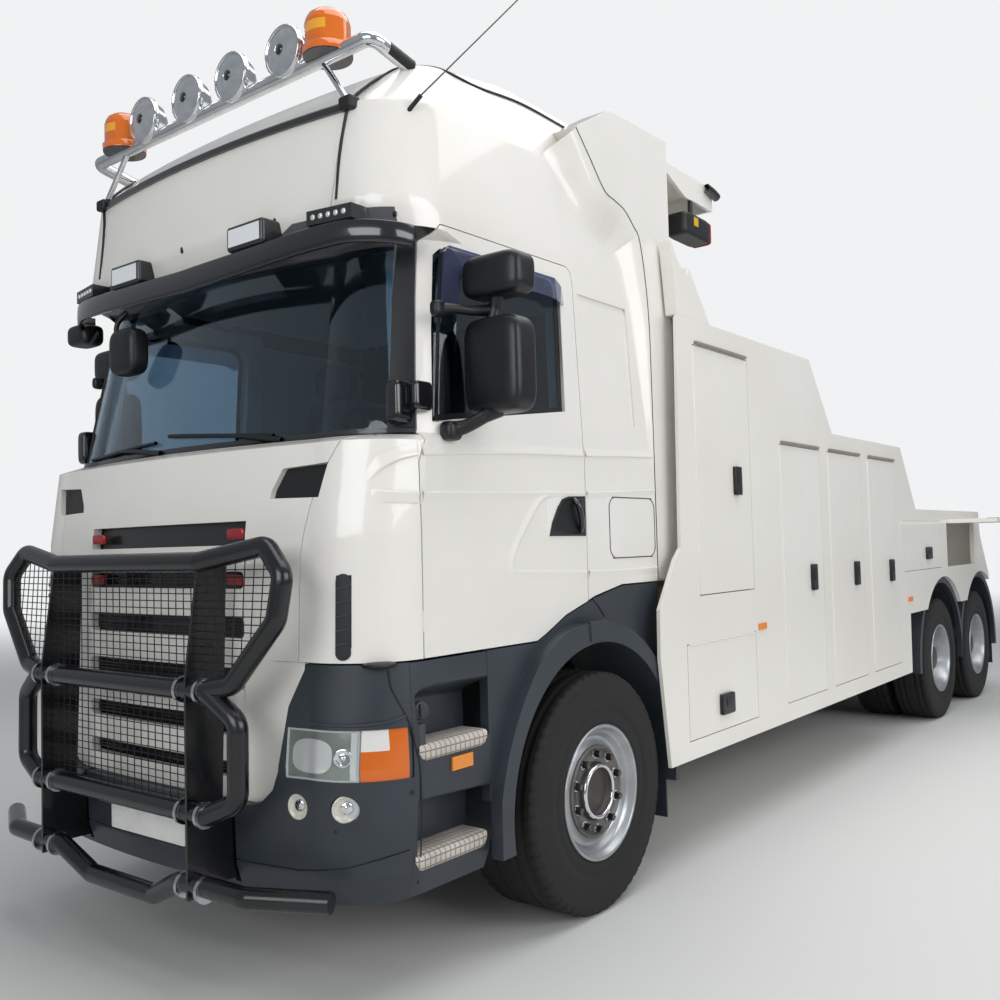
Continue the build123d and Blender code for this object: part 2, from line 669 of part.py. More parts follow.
# Grille: white surround, bowed a little in plan, with five wide dark slots with rounded ends
grille_slots = [(1500, 1566), (1310, 1390), (1115, 1196), (940, 1008), (780, 838)]
slot_end, slot_r = 545, 22
grille_tip, grille_bow, grille_t = 1430, 46, 40
grille_outline = [(600, 700), (668, 716), (728, 768), (758, 839), (792, 1074), (859, 1208), (859, grille_step),
                  (grille_half - hub_gap, grille_step), (grille_half - hub_gap, grille_top)]
with BuildPart() as grille:
    with BuildSketch(Plane.XY.offset(690)):
        with BuildLine():
            ends = [(axle1_x + grille_tip - grille_bow - t, 870) for t in (0, grille_t)]
            ThreePointArc((ends[0][0], -870), (axle1_x + grille_tip, 0), ends[0])
            Line(ends[0], ends[1])
            ThreePointArc(ends[1], (axle1_x + grille_tip - grille_t, 0), (ends[1][0], -870))
            Line((ends[1][0], -870), (ends[0][0], -870))
        make_face()
    extrude(amount=950)
    add(front_prism(both_sides(grille_outline), 1000, 1600), mode=Mode.INTERSECT)
    for z_low, z_high in grille_slots:
        with BuildSketch(Plane.YZ.offset(axle1_x + 1300)):
            with Locations((0, (z_low + z_high) / 2)):
                RectangleRounded(2 * slot_end, z_high - z_low, slot_r)
        extrude(amount=200, mode=Mode.SUBTRACT)
keep(grille.part, "grille")

# Steps: a thick tread on each shelf, its outer end cut back towards the wheel
with BuildPart() as step_treads:
    for side in (1, -1):
        for floor, _, edge_y, _ in step_wells:
            plan = [(well_front, well_in + 3), (well_front, edge_y - 5), (830, edge_y), (well_back, 1130),
                    (well_back, well_in + 3)]
            with BuildSketch(Plane.XY.offset(floor)):
                with BuildLine():
                    Polyline([(axle1_x + x, side * y) for x, y in plan], close=True)
                make_face()
            extrude(amount=tread_t)
keep(step_treads.part, "step_treads")

# Mudguards: front arches with their outer flare, rear half rounds and mud flaps
arch_r, guard_r, guard_t = 665, 700, 12
wheel_cut_r = 728
# Flare: a line's end, or an arc's middle and end, from its front foot over the wheel to the back
flare_foot = (740, 420)
flare_legs = [[(740, 640)], [(655, 880), (520, 1085)], [(345, 1225), (60, 1282)], [(-250, 1240), (-480, 1090)],
              [(-630, 900), (-694, 640)], [(-694, 450)]]
fender = [(740, 640), (740, 1228), (400, 1228), (330, 1254), (180, 1322), (-60, 1390), (-300, 1434), (-640, 1434),
          (-640, 1250), (-694, 1000), (-694, 640)]
flare_in, flare_out = 1192, 1250
lip_r = 672             # inner edge of the rear guards' outer lip


def guard_ring(x_mid, r_in, r_out, y_a, y_b, low):
    """A half ring over a wheel, down to the height low."""
    with BuildPart() as ring:
        with BuildSketch(Plane.XZ.offset(-max(y_a, y_b))):
            with Locations((x_mid, tyre_r)):
                Circle(r_out)
                Circle(r_in, mode=Mode.SUBTRACT)
        extrude(amount=abs(y_b - y_a))
        with Locations((x_mid, 0, low + 1000)):
            Box(2000, 3000, 2000, mode=Mode.INTERSECT)
    return ring.part


with BuildPart() as mudguards:
    for side in (1, -1):
        add(arc_prism(flare_foot, flare_legs, side * flare_in, side * flare_out))
        add(side_prism(fender, side * 1150, side * flare_in))
        add(cross_rod(0, tyre_r, arch_r, side * 1100, side * 1300), mode=Mode.SUBTRACT)
        add(guard_ring(axle1_x, arch_r, arch_r + guard_t, side * 800, side * flare_in, 470))
        for x in (axle2_x, axle3_x):
            add(guard_ring(x, guard_r, wheel_cut_r - hub_gap, side * (body_inner + 2), side * 1235, 470))
            add(guard_ring(x, lip_r, wheel_cut_r - hub_gap, side * 1195, side * 1240, 470))
        for x in (-wheelbase, -wheelbase - bogie):
            add(cross_rod(x, tyre_r, lip_r, side * 640, side * 1250), mode=Mode.SUBTRACT)
        # mud flaps: behind the front wheel and under the rear beam
        add(block(-arch_r - guard_t, -arch_r, side * 860, side * 1190, 260, 480))
        add(block(lamp_beam[1], lamp_beam[1] + 8, side * 650, side * 1190, 260, lamp_beam[3]))
keep(mudguards.part, "mudguards")

# Bull bar: two posts, tubes bent round both sides, and the brackets under the bumper
bar_r = 38
bull_x = 1618
post_side = [(1470, 1640), (1590, 1640), (1655, 1180), (1655, 390), (1560, 390), (1500, 700)]
upper_ring = [(bull_x, 0, 1140), (bull_x, 560, 1140), (1600, 720, 1170), (1575, 935, 1400), (1562, 960, 1560),
              (1545, 850, 1662), (1587, 513, 1608), (1587, 0, 1608)]
lower_ring = [(bull_x, 0, 696), (bull_x, 590, 696), (1600, 745, 760), (1597, 745, 1040), (bull_x, 600, 1138)]
bottom_bar = [(1596, 0, 344), (1596, 223, 344), (1618, 430, 440), (1618, 800, 446), (1481, 1087, 446)]
with BuildPart() as bull_bar:
    for side in (1, -1):
        for path, bend in ((upper_ring, 60), (lower_ring, 60), (bottom_bar, 60)):
            add(tube([(x, side * y, z) for x, y, z in path], bar_r, bend))
        add(side_prism(post_side, side * (bracket_y - 6), side * (bracket_y + 6)))
        add(block(frame_front + 20, 1560, side * (bracket_y - 6), side * (bracket_y + 6), 420, 690))
        for z in (1140, 696, 431):
            for y in (bracket_y - 60, bracket_y + 60):
                add(cross_rod(bull_x, z, 48, side * (y - 8), side * (y + 8)))
keep(bull_bar.part, "bull_bar")

# Mesh: upright wires behind the level ones, in the middle and in the side bays
wire = 3
mesh_pitch = 50
mesh_x = 1600
with BuildPart() as bull_bar_mesh:
    z = 760
    while z < 1590:
        add(block(mesh_x, mesh_x + wire, -bracket_y + 6, bracket_y - 6, z, z + wire))
        z += mesh_pitch
    y = -475
    while y < 480:
        add(block(mesh_x - wire, mesh_x, y, y + wire, 696, 1608))
        y += mesh_pitch
    # side bays inside the upper ring: level wires, then upright ones
    for side in (1, -1):
        for z in (1240, 1310, 1380, 1450, 1520):
            share = min((z - 1170) / 230, 1)
            add(rod((1602, side * bracket_y, z), (1600 - 25 * share, side * (720 + 215 * share), z), 2))
        for y in (585, 650, 715, 780, 845):
            low = 1150 + max(y - 720, 0) * 1.07
            add(rod((1607 - 0.06 * (y - bracket_y), side * y, low),
                    (1587 - 0.12 * (y - bracket_y), side * y, 1608 + 0.15 * (y - bracket_y)), 2))
    add(bull_bar.part, mode=Mode.SUBTRACT)
keep(bull_bar_mesh.part, "bull_bar_mesh")

# Light bar over the roof edge, with its struts and the aerial
bar_x, bar_z, bar_tube_r = 1105, 3630, 30
bar_path = [(bar_x, 0, bar_z), (bar_x, 985, bar_z), (890, 990, 3585)]
lamp_x, lamp_z = 1149, 3714
lamp_at = (162, 510)
# Half sections: radius and distance from the face or foot
bowl = [(0, 0), (104, 0), (108, 6), (108, 18), (99, 28), (84, 70), (50, 104), (0, 118)]
beacon = [(0, 0), (100, 0), (100, 34), (90, 42), (90, 140), (78, 168), (50, 180), (0, 182)]
beacon_y = 738
strip_plan = [(1262, 770), (1225, 980), (1000, 980), (1000, 770)]
with BuildPart() as light_bar:
    for side in (1, -1):
        add(tube([(x, side * y, z) for x, y, z in bar_path], bar_tube_r, 45))
        add(rod((bar_x, side * 700, bar_z), (1127, side * 880, 3386), 13))
        add(soft_block(1080, 1160, side * 845, side * 915, 3358, 3412, 12))
    # aerial
    add(rod((1000, 1020, 3310), (985, 1130, 3395), 9))
    add(rod((985, 1130, 3395), (250, 1075, 4110), 3))
    add(cab_form(2990, roof_top, -hub_gap), mode=Mode.SUBTRACT)
    add(roof_lip(lip_reach + hub_gap), mode=Mode.SUBTRACT)
keep(light_bar.part, "light_bar")

# Round lamps and beacons on the bar, square lamps over the visor, work lamps under the hood
with BuildPart() as auxiliary_lamps:
    for side in (1, -1):
        for y in lamp_at:
            add(spun((lamp_x, side * y, lamp_z), (-1, 0, 0), bowl))
        add(spun((bar_x, side * beacon_y, bar_z - 8), (0, 0, 1), beacon))
    add(cross_rod(bar_x, bar_z, bar_tube_r + hub_gap, -930, 930), mode=Mode.SUBTRACT)
    for side in (1, -1):
        add(rod((bar_x, side * 700, bar_z), (1127, side * 880, 3386), 13 + hub_gap), mode=Mode.SUBTRACT)
        add(soft_block(1150, 1302, side * 318, side * 551, 2869, 2974, 16))
        with BuildSketch(Plane.XY.offset(2892)):
            with BuildLine():
                Polyline([(axle1_x + x, side * y) for x, y in strip_plan], close=True)
            make_face()
        extrude(amount=56)
        add(soft_block(-1270, -1070, side * 1100, side * 1180, 3330, 3398, 12))
        add(block(-1180, -1150, side * 1172, side * 1186, 3390, 3522))
    add(cab_form(2800, 3100, -hub_gap), mode=Mode.SUBTRACT)
keep(auxiliary_lamps.part, "auxiliary_lamps")

# Sun visor: a glossy band bent round the windscreen's top
visor_plan = [(1037, 1125), (1180, 1015), (1235, 930), (1290, 500), (1308, 0)]
visor_low = [(0, 2757), (430, 2768), (950, 2800), (1125, 2784)]
visor_high = [(1125, 2870), (950, 2889), (430, 2858)]
visor_brackets = [(0, 1302), (880, 1236)]
with BuildPart() as sun_visor:
    for inset, mode in ((0, Mode.ADD), (10, Mode.SUBTRACT)):
        with BuildSketch(Plane.XY.offset(2740)):
            with BuildLine():
                outer = [(axle1_x + x - inset, y - 0.5 * inset) for x, y in visor_plan]
                Polyline([(axle1_x + 900, outer[0][1])] + outer + [(x, -y) for x, y in outer[-2::-1]]
                         + [(axle1_x + 900, -outer[0][1])], close=True)
            make_face()
        extrude(amount=160, mode=mode)
    add(block(1030, 1700, -1200, 1200, 2700, 3000), mode=Mode.INTERSECT)
    add(front_prism(visor_low + visor_high + [(-y, z) for y, z in visor_high[::-1] + visor_low[:0:-1]],
                    900, 1600), mode=Mode.INTERSECT)
    for side in (1, -1):
        for y, x_tip in visor_brackets:
            add(block(1080, x_tip, side * y - 20, side * y + 20, 2836, 2889))
    add(cab_form(2700, 2980, -hub_gap), mode=Mode.SUBTRACT)
keep(sun_visor.part, "sun_visor")

# Cab interior: dash, steering wheel, seats and bunk
seat_y = 560
with BuildPart() as cab_interior:
    add(cab_form(1750, 2010, cab_wall + hub_gap))
    # clear of the doors' inner corners as they turn
    add(block(760, 1400, -1075, 1075, 1700, 2100), mode=Mode.INTERSECT)
    add(rod((790, seat_y, 1950), (640, seat_y, 2090), 30))
    for side in (1, -1):
        add(block(0, 330, side * seat_y - 180, side * seat_y + 180, cab_floor, 1800))
        add(block(-80, 430, side * seat_y - 250, side * seat_y + 250, 1800, 1930))
        add(block(-180, -60, side * seat_y - 250, side * seat_y + 250, 1850, 2600))
    add(block(cab_back + cab_wall, -300, -1000, 1000, cab_floor, 1800))
    add(block(cab_back + cab_wall, -250, -1000, 1000, 1800, 1940))
    wheel_plane = Plane(origin=(axle1_x + 640, seat_y, 2090), z_dir=(-150, 0, 140))
    with BuildSketch(wheel_plane):
        Circle(230)
        Circle(205, mode=Mode.SUBTRACT)
        Rectangle(420, 40)
    extrude(amount=25)
keep(cab_interior.part, "cab_interior")

# Fairings that close the gap behind the cab, with the hood over the back of it
fairing_side = [(0, 3570), (-238, 3331), (-420, 3280), (-559, 3161), (-632, 2714), (-640, 1450), (-875, 1450),
                (-875, 3760), (-300, 3745)]
hood_side = [(cab_back, 3655), (-1420, 3655), (-1420, 3522), (-1090, 3522), (cab_back, 3606)]
with BuildPart() as cab_fairings:
    for side in (1, -1):
        add(side_prism(fairing_side, side * 1040, side * 1195))
    add(cab_form(1400, roof_top, -hub_gap), mode=Mode.SUBTRACT)
    add(side_prism(hood_side, -1190, 1190))
    add(side_prism([(cab_back + 1, 3625), (-1400, 3635), (-1400, 3500), (-1080, 3500), (cab_back + 1, 3590)],
                   -1170, 1170), mode=Mode.SUBTRACT)
keep(cab_fairings.part, "cab_fairings")

# Recovery body: a row of lockers on each side, one compartment behind each group of doors
front_wall = -930       # front wall of the lockers, behind the cab
locker_side = [(-700, body_bottom), (-700, 1250), (front_wall, 1400), (front_wall, body_high),
               (-2607, body_high), (-2990, body_mid), (-4536, body_mid), (-4905, body_low), (-7080, body_low),
               (-7110, 1618), (-7409, 1221), (-7440, 1000), (-4640, 1000), (-4623, body_bottom)]
body_edge = [(-950, body_bottom), (-576, body_bottom), (-500, 1064), (-507, 1306), (-676, 1545), (-744, 1604),
             (-775, 2787), (-790, body_high), (-950, body_high)]
# Door leaves: name, front edge, rear edge, low edge, high edge, and the handle's x, z, width, height
locker_doors = [
    ("tall", -943, -1618, 1355, 2672, -1423, 1968, 36, 130),
    ("flap", -779, -1615, 625, 1106, -1197, 760, 84, 84),
    ("second", -2059, -2725, 640, 2215, -2532, 1383, 36, 130),
    ("third", -2879, -3541, 640, 2215, -3361, 1377, 36, 130),
    ("fourth", -3704, -4360, 640, 2215, -4169, 1369, 36, 130),
    ("rear_flap", -4536, -5640, 1345, 1755, -5215, 1478, 84, 84),
    ("tail_flap", -5850, -6850, 1345, 1770, -6350, 1478, 84, 84),
]
handle_t = 9
# Compartments: front and rear inner face, floor and ceiling
compartments = [
    (-970, -1830, 1290, 2770),
    (-740, -1830, 570, 1230),
    (-1870, -4480, 570, 2300),
    (-4520, -6990, 1310, 1800),
]
leaf_depth = 36
bead_r = 4.7            # hinge bead that closes the shut gap along the hinged edge


def hinge_bead(start, end):
    """The long hinge's round bead, at the outer face of a leaf."""
    return rod(start, end, bead_r)


def locker_room(side, x_front, x_back, z_low, z_high):
    """The hollow of one compartment, 30 mm inside the body's outline."""
    with BuildPart() as room:
        add(block(x_back, x_front, side * (body_inner + divider), side * (body_half - body_skin),
                  z_low, z_high))
        add(side_prism(grown(locker_side, -30), side * body_inner, side * body_half), mode=Mode.INTERSECT)
    return room.part


for side, name in ((1, "left"), (-1, "right")):
    with BuildPart() as lockers:
        add(side_prism(locker_side, side * body_inner, side * body_half))
        add(side_prism(body_edge, side * (body_half - 20), side * body_half))
        for x in (-wheelbase, -wheelbase - bogie):
            add(cross_rod(x, tyre_r, wheel_cut_r, side * (body_inner - 1), side * (body_half + 1)),
                mode=Mode.SUBTRACT)
        for room in compartments:
            add(locker_room(side, *room), mode=Mode.SUBTRACT)
        for _, x_front, x_back, z_low, z_high, *_ in locker_doors:
            add(block(x_back - shut_gap, x_front + shut_gap, side * (body_half - body_skin - 1),
                      side * (body_half + 1), z_low - shut_gap, z_high + shut_gap), mode=Mode.SUBTRACT)
    keep(lockers.part, f"lockers_{name}")
    for leaf, x_front, x_back, z_low, z_high, grip_x, grip_z, grip_w, grip_h in locker_doors:
        with BuildPart() as locker_door:
            if leaf == "tail_flap":
                # this flap is stored raised, turned up about its top edge
                grip_y = body_half + z_high - grip_z
                add(block(x_back, x_front, side * body_half, side * (body_half + z_high - z_low),
                          z_high - leaf_depth, z_high))
                add(block(grip_x - grip_w / 2, grip_x + grip_w / 2, side * (grip_y - grip_h / 2),
                          side * (grip_y + grip_h / 2), z_high, z_high + handle_t))
            else:
                add(block(x_back, x_front, side * (body_half - leaf_depth), side * body_half, z_low, z_high))
                add(block(grip_x - grip_w / 2, grip_x + grip_w / 2, side * body_half,
                          side * (body_half + handle_t), grip_z - grip_h / 2, grip_z + grip_h / 2))
            if "flap" in leaf:
                add(hinge_bead((x_back + 20, side * body_half, z_high),
                               (x_front - 20, side * body_half, z_high)))
            else:
                add(hinge_bead((x_front, side * body_half, z_low + 20),
                               (x_front, side * body_half, z_high - 20)))
        keep(locker_door.part, f"locker_{leaf}_{name}")

# Headboard between the lockers, with the side cheeks that stand up behind the cab
cheek_side = [(-790, body_high), (-740, 3190), (-800, 3110), (-900, 3034), (-931, 3083), (-1163, body_high)]
with BuildPart() as headboard:
    add(block(-960, front_wall, -body_inner, body_inner, deck_z, body_high))
    add(block(-960, front_wall, -1250, 1250, body_high, 3030))
    for side in (1, -1):
        add(side_prism(cheek_side, side * 1205, side * body_half))
keep(headboard.part, "headboard")

# Deck between the lockers, with the tower that carries the boom and the rest for its tail
boom_pivot = (-2450, 1630)
boom_half, boom_low, boom_high = 170, 1420, 1840
tower_y, tower_t = 200, 30
base_at, eye_at = (-3200, 1200), (-5200, 1500)
cyl_y, barrel_r, lift_rod_r = 280, 70, 40
with BuildPart() as deck:
    add(block(-7450, -900, -body_inner, body_inner, deck_low, deck_z))
    for side in (1, -1):
        add(side_prism([(-2750, deck_z), (-2580, 1640), (-2500, 1760), (-2400, 1760), (-2320, 1640),
                        (-2150, deck_z)], side * tower_y, side * (tower_y + tower_t)))
        add(side_prism([(-3330, deck_z), (-3260, 1250), (-3140, 1250), (-3070, deck_z)],
                       side * (cyl_y + 75), side * (cyl_y + 105)))
    add(block(-6300, -6220, -150, 150, deck_z, boom_low - 6))
keep(deck.part, "deck")

with BuildPart() as winches:
    for x in (-1300, -1800):
        add(cross_rod(x, 1330, 120, -180, 180))
        for side in (1, -1):
            add(cross_rod(x, 1330, 190, side * 160, side * 180))
            add(block(x - 150, x + 150, side * 180, side * 250, deck_z, 1450))
keep(winches.part, "winches")

# Boom: a box section with a sliding one in it
boom_back = -6900
with BuildPart() as boom:
    add(block(boom_back, -2300, -boom_half, boom_half, boom_low, boom_high))
    add(block(boom_back - 1, -2500, 25 - boom_half, boom_half - 25, boom_low + 30, boom_high - 30),
        mode=Mode.SUBTRACT)
    for side in (1, -1):
        add(cross_rod(boom_pivot[0], boom_pivot[1], 75, side * boom_half, side * (tower_y - hub_gap)))
        add(cross_rod(eye_at[0], eye_at[1], 55, side * boom_half, side * (cyl_y - 65)))
keep(boom.part, "boom")
with BuildPart() as boom_extension:
    add(block(-7350, -2700, 30 - boom_half, boom_half - 30, boom_low + 35, boom_high - 35))
    for side in (1, -1):
        add(block(-7560, -7300, side * 110, side * (boom_half - 30), boom_low - 20, boom_high - 35))
        add(cross_rod(-7470, 1520, 120, side * 30, side * 105))
        add(cross_rod(-7470, 1520, 25, 0, side * 120))
    # wear pads that run inside the boom
    add(block(-3000, -2900, 25.3 - boom_half, boom_half - 25.3, boom_low + 30.3, boom_high - 30.3))
    add(block(boom_back + 20, boom_back + 120, 25.3 - boom_half, boom_half - 25.3, boom_low + 30.3,
              boom_high - 30.3))
keep(boom_extension.part, "boom_extension")

# Cylinders that raise the boom
lift_length = hypot(eye_at[0] - base_at[0], eye_at[1] - base_at[1])
rod_start = 700
lift_dir = [(eye_at[0] - base_at[0]) / lift_length, 0, (eye_at[1] - base_at[1]) / lift_length]


def along(distance, y):
    """A point on the cylinder's line at a distance from its base pin."""
    return (base_at[0] + lift_dir[0] * distance, y, base_at[1] + lift_dir[2] * distance)


with BuildPart() as lift_barrels:
    for side in (1, -1):
        add(rod(along(0, side * cyl_y), along(1180, side * cyl_y), barrel_r))
        add(cross_rod(base_at[0], base_at[1], 60, side * (cyl_y - 65), side * (cyl_y + 75 - hub_gap)))
        add(rod(along(600, side * cyl_y), along(1181, side * cyl_y), lift_rod_r + hub_gap),
            mode=Mode.SUBTRACT)
keep(lift_barrels.part, "lift_barrels")
with BuildPart() as lift_rods:
    for side in (1, -1):
        add(rod(along(rod_start, side * cyl_y), along(lift_length, side * cyl_y), lift_rod_r))
        add(cross_rod(eye_at[0], eye_at[1], 55, side * (cyl_y - 65 + hub_gap), side * (cyl_y + 55)))
keep(lift_rods.part, "lift_rods")

# Underlift: an arm on the tail plates, a sliding section and a crossbar that swivels on its end
arm_half, arm_low, arm_high = 110, 340, 560
crossbar_x = -9060
with BuildPart() as underlift_arm:
    add(block(-8750, -7650, -arm_half, arm_half, arm_low, arm_high))
    add(side_prism([(-7800, arm_high), (-7775, 930), (-7740, 970), (-7660, 970), (-7630, 930), (-7620, 560)],
                   -arm_half, arm_half))
    add(block(-8751, -7850, 22 - arm_half, arm_half - 22, arm_low + 22, arm_high - 22), mode=Mode.SUBTRACT)
    for side in (1, -1):
        add(cross_rod(lift_pivot[0], lift_pivot[1], 55, side * arm_half, side * (tail_y - hub_gap)))
keep(underlift_arm.part, "underlift_arm")
with BuildPart() as underlift_slide:
    add(block(-9000, -7950, 27 - arm_half, arm_half - 27, arm_low + 27, arm_high - 27))
    for z_a, z_b in ((arm_low + 27, arm_low + 57), (arm_high - 57, arm_high - 27)):
        add(block(-9130, -8990, 27 - arm_half, arm_half - 27, z_a, z_b))
    # wear pads that run inside the arm
    add(block(-8050, -7970, 22.3 - arm_half, arm_half - 22.3, arm_low + 22.3, arm_high - 22.3))
keep(underlift_slide.part, "underlift_slide")
with BuildPart() as underlift_crossbar:
    with BuildSketch(Plane.XY.offset(arm_low + 57 + hub_gap)):
        with Locations((axle1_x + crossbar_x, 0)):
            Circle(60)
    extrude(amount=arm_high - arm_low - 114 - 2 * hub_gap)
    add(block(-9260, crossbar_x, -55, 55, arm_low + 60, arm_high - 60))
    add(block(-9300, -9180, -800, 800, 385, 515))
    for side in (1, -1):
        add(block(-9550, -9300, side * 600 - 50, side * 600 + 50, 385, 485))
        add(block(-9550, -9490, side * 600 - 50, side * 600 + 50, 485, 600))
        # socket for a lifting fork's pin
        with BuildSketch(Plane.XY.offset(380)):
            with Locations((axle1_x - 9240, side * 740)):
                Circle(26)
        extrude(amount=140, mode=Mode.SUBTRACT)
keep(underlift_crossbar.part, "underlift_crossbar")

# Wheels: each tyre and rim is turned about the axle from a half section of radius against y
nut_ring_r, nut_r, nuts = 168, 17, 10
front_hub_bore, spindle_r = 45.3, 45
# Tyre: radius and distance in from its side face
tyre_section = [(rim_seat_r + hub_gap, 46.6), (298.4, 30.4), (306, 14), (400, 0), (470, 3), (512, 16),
                (tyre_r, 44)]
# Rims: radius and distance in from the tyre's side face, round the whole section
front_rim = [(298, 30), (rim_seat_r, 46), (rim_seat_r, 340), (298, 356), (290, 360), (272, 338), (272, 125),
             (262, 94), (205, 68), (205, 50), (264, 62), (280, 44), (291, 26)]
rear_rim = [(298, 30), (rim_seat_r, 46), (rim_seat_r, 254), (298, 270), (290, 274), (280, 290), (272, 323),
            (205, 323), (205, 307), (250, 303), (262, 288), (265, 240), (267, 66), (280, 48), (291, 26)]
# Hubs: radius and y, from the axle's middle outwards
front_hub = [(0, 1195), (98, 1195), (104, 1214), (118, 1214), (124, 1203), (192, 1203), (206, 1190), (206, 1172),
             (150, 1160), (112, 1150), (112, 1040), (front_hub_bore, 1040), (front_hub_bore, 1170), (0, 1170)]
rear_hub = [(0, 1120), (104, 1120), (124, 1108), (132, 1090), (138, 930), (192, 930), (206, 925), (206, 873),
            (150, 868), (140, 600), (stub_r + hub_gap, 600), (stub_r + hub_gap, 1106), (0, 1106)]


def turned(x_mid, points):
    """A solid turned about the axle line from (radius, y) points."""
    with BuildPart() as solid:
        with BuildSketch(Plane.XY.offset(tyre_r)):
            with BuildLine():
                Polyline([(x_mid + r, y) for r, y in points], close=True)
            make_face()
        revolve(axis=Axis((x_mid, 0, tyre_r), (0, 1, 0)))
    return solid.part


def wheel_nuts(x_mid, side, y_a, y_b):
    """The ring of six-sided nuts on the hub's flange."""
    with BuildPart() as ring:
        with BuildSketch(Plane.XZ.offset(-max(side * y_a, side * y_b))):
            with Locations((x_mid, tyre_r)):
                with PolarLocations(nut_ring_r, nuts):
                    RegularPolygon(nut_r, 6)
        extrude(amount=y_b - y_a)
    return ring.part


def tyre(x_mid, side, face, width):
    """One tyre: both sidewalls and the tread, as a closed ring."""
    outer = [(r, side * (face - inset)) for r, inset in tyre_section]
    inner = [(r, side * (face - width + inset)) for r, inset in reversed(tyre_section)]
    return turned(x_mid, outer + inner)


for side, name in ((1, "left"), (-1, "right")):
    with BuildPart() as front_wheel:
        add(tyre(axle1_x, side, front_tyre_out, front_tyre_w))
        add(turned(axle1_x, [(r, side * (front_tyre_out - inset)) for r, inset in front_rim]))
        add(turned(axle1_x, [(r, side * y) for r, y in front_hub]))
        add(wheel_nuts(axle1_x, side, 1203, 1232))
    keep(front_wheel.part, f"front_wheel_{name}")
    for x, place in ((axle2_x, "drive"), (axle3_x, "tag")):
        with BuildPart() as twin_wheel:
            for n, turn in ((0, 1), (1, -1)):
                face = rear_tyre_out - n * (2 * rear_tyre_w + twin_gap)
                add(tyre(x, side * turn, face * turn, rear_tyre_w))
                add(turned(x, [(r, side * (face - turn * inset)) for r, inset in rear_rim]))
            add(turned(x, [(r, side * y) for r, y in rear_hub]))
            add(wheel_nuts(x, side, 930, 962))
        keep(twin_wheel.part, f"{place}_wheel_{name}")
    # knuckle: a fork about the beam's end, with the kingpin and the spindle
    with BuildPart() as knuckle:
        for z_a, z_b in ((boss_low - 40, boss_low - hub_gap), (boss_high + hub_gap, boss_high + 40)):
            add(block(-55, 55, side * (kingpin_y - 55), side * (kingpin_y + 95), z_a, z_b))
        add(block(-62, 62, side * (kingpin_y + 66), side * (kingpin_y + 95), boss_low - 40, boss_high + 40))
        with BuildSketch(Plane.XY.offset(boss_low - 60)):
            with Locations((axle1_x, side * kingpin_y)):
                Circle(kingpin_r)
        extrude(amount=boss_high - boss_low + 120)
        add(cross_rod(0, tyre_r, spindle_r, side * (kingpin_y + 90), side * 1165))
        # steering arm towards the rear
        add(block(-40, 40, side * (kingpin_y - 140), side * kingpin_y, boss_low - 40, boss_low - 10))
        add(block(-260, -30, side * (kingpin_y - 140), side * (kingpin_y - 80), boss_low - 40, boss_low - 10))
    keep(knuckle.part, f"knuckle_{name}")
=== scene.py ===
import math
import bmesh
import bpy
import numpy as np
from mathutils import Matrix, Vector
from mathutils.geometry import delaunay_2d_cdt


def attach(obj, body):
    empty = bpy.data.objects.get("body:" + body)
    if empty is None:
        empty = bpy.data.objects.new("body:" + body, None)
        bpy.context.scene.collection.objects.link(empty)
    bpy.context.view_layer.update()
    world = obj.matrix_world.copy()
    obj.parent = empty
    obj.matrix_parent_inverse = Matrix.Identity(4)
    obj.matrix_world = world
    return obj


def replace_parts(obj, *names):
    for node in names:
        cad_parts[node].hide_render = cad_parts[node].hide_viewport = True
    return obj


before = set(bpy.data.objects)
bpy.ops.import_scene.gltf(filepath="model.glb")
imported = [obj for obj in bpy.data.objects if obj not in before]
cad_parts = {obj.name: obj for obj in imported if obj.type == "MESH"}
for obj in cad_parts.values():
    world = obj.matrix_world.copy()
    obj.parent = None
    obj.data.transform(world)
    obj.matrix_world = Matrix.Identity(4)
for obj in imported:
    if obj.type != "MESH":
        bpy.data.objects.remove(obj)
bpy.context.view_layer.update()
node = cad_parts
axle = 3.947            # x of the front axle; below, x is measured from it

# Camera and studio: the truck stands on a pale floor and is seen from its front left corner, at the
# height of a person's eyes. A wide soft light hangs over it, with weaker ones at its left and in front.


def linked(name, data):
    """A new object with that data, linked to the scene."""
    made = bpy.data.objects.new(name, data)
    bpy.context.scene.collection.objects.link(made)
    return made


eye = Vector((3.8204 + axle, 3.683, 1.6453))
yaw, pitch, roll = (math.radians(a) for a in (217.9979, 2.5415, -1.459))
forward = Vector((math.cos(pitch) * math.cos(yaw), math.cos(pitch) * math.sin(yaw), math.sin(pitch)))
level = forward.cross(Vector((0, 0, 1))).normalized()
upright = level.cross(forward)
right = math.cos(roll) * level + math.sin(roll) * upright
up = -math.sin(roll) * level + math.cos(roll) * upright
camera = linked("camera", bpy.data.cameras.new("camera"))
camera.data.sensor_width = 36.0
camera.data.lens = 35.976
camera.data.clip_start, camera.data.clip_end = 0.05, 200.0
camera.matrix_world = Matrix((right, up, -forward)).transposed().to_4x4()
camera.location = eye
bpy.context.scene.camera = camera
bpy.context.scene.view_settings.view_transform = "Standard"


def linear(code):
    """An sRGB hex colour as linear red, green, blue and an alpha of 1."""
    parts = [int(code[i:i + 2], 16) / 255 for i in (1, 3, 5)]
    return [p / 12.92 if p <= 0.04045 else ((p + 0.055) / 1.055) ** 2.4 for p in parts] + [1.0]


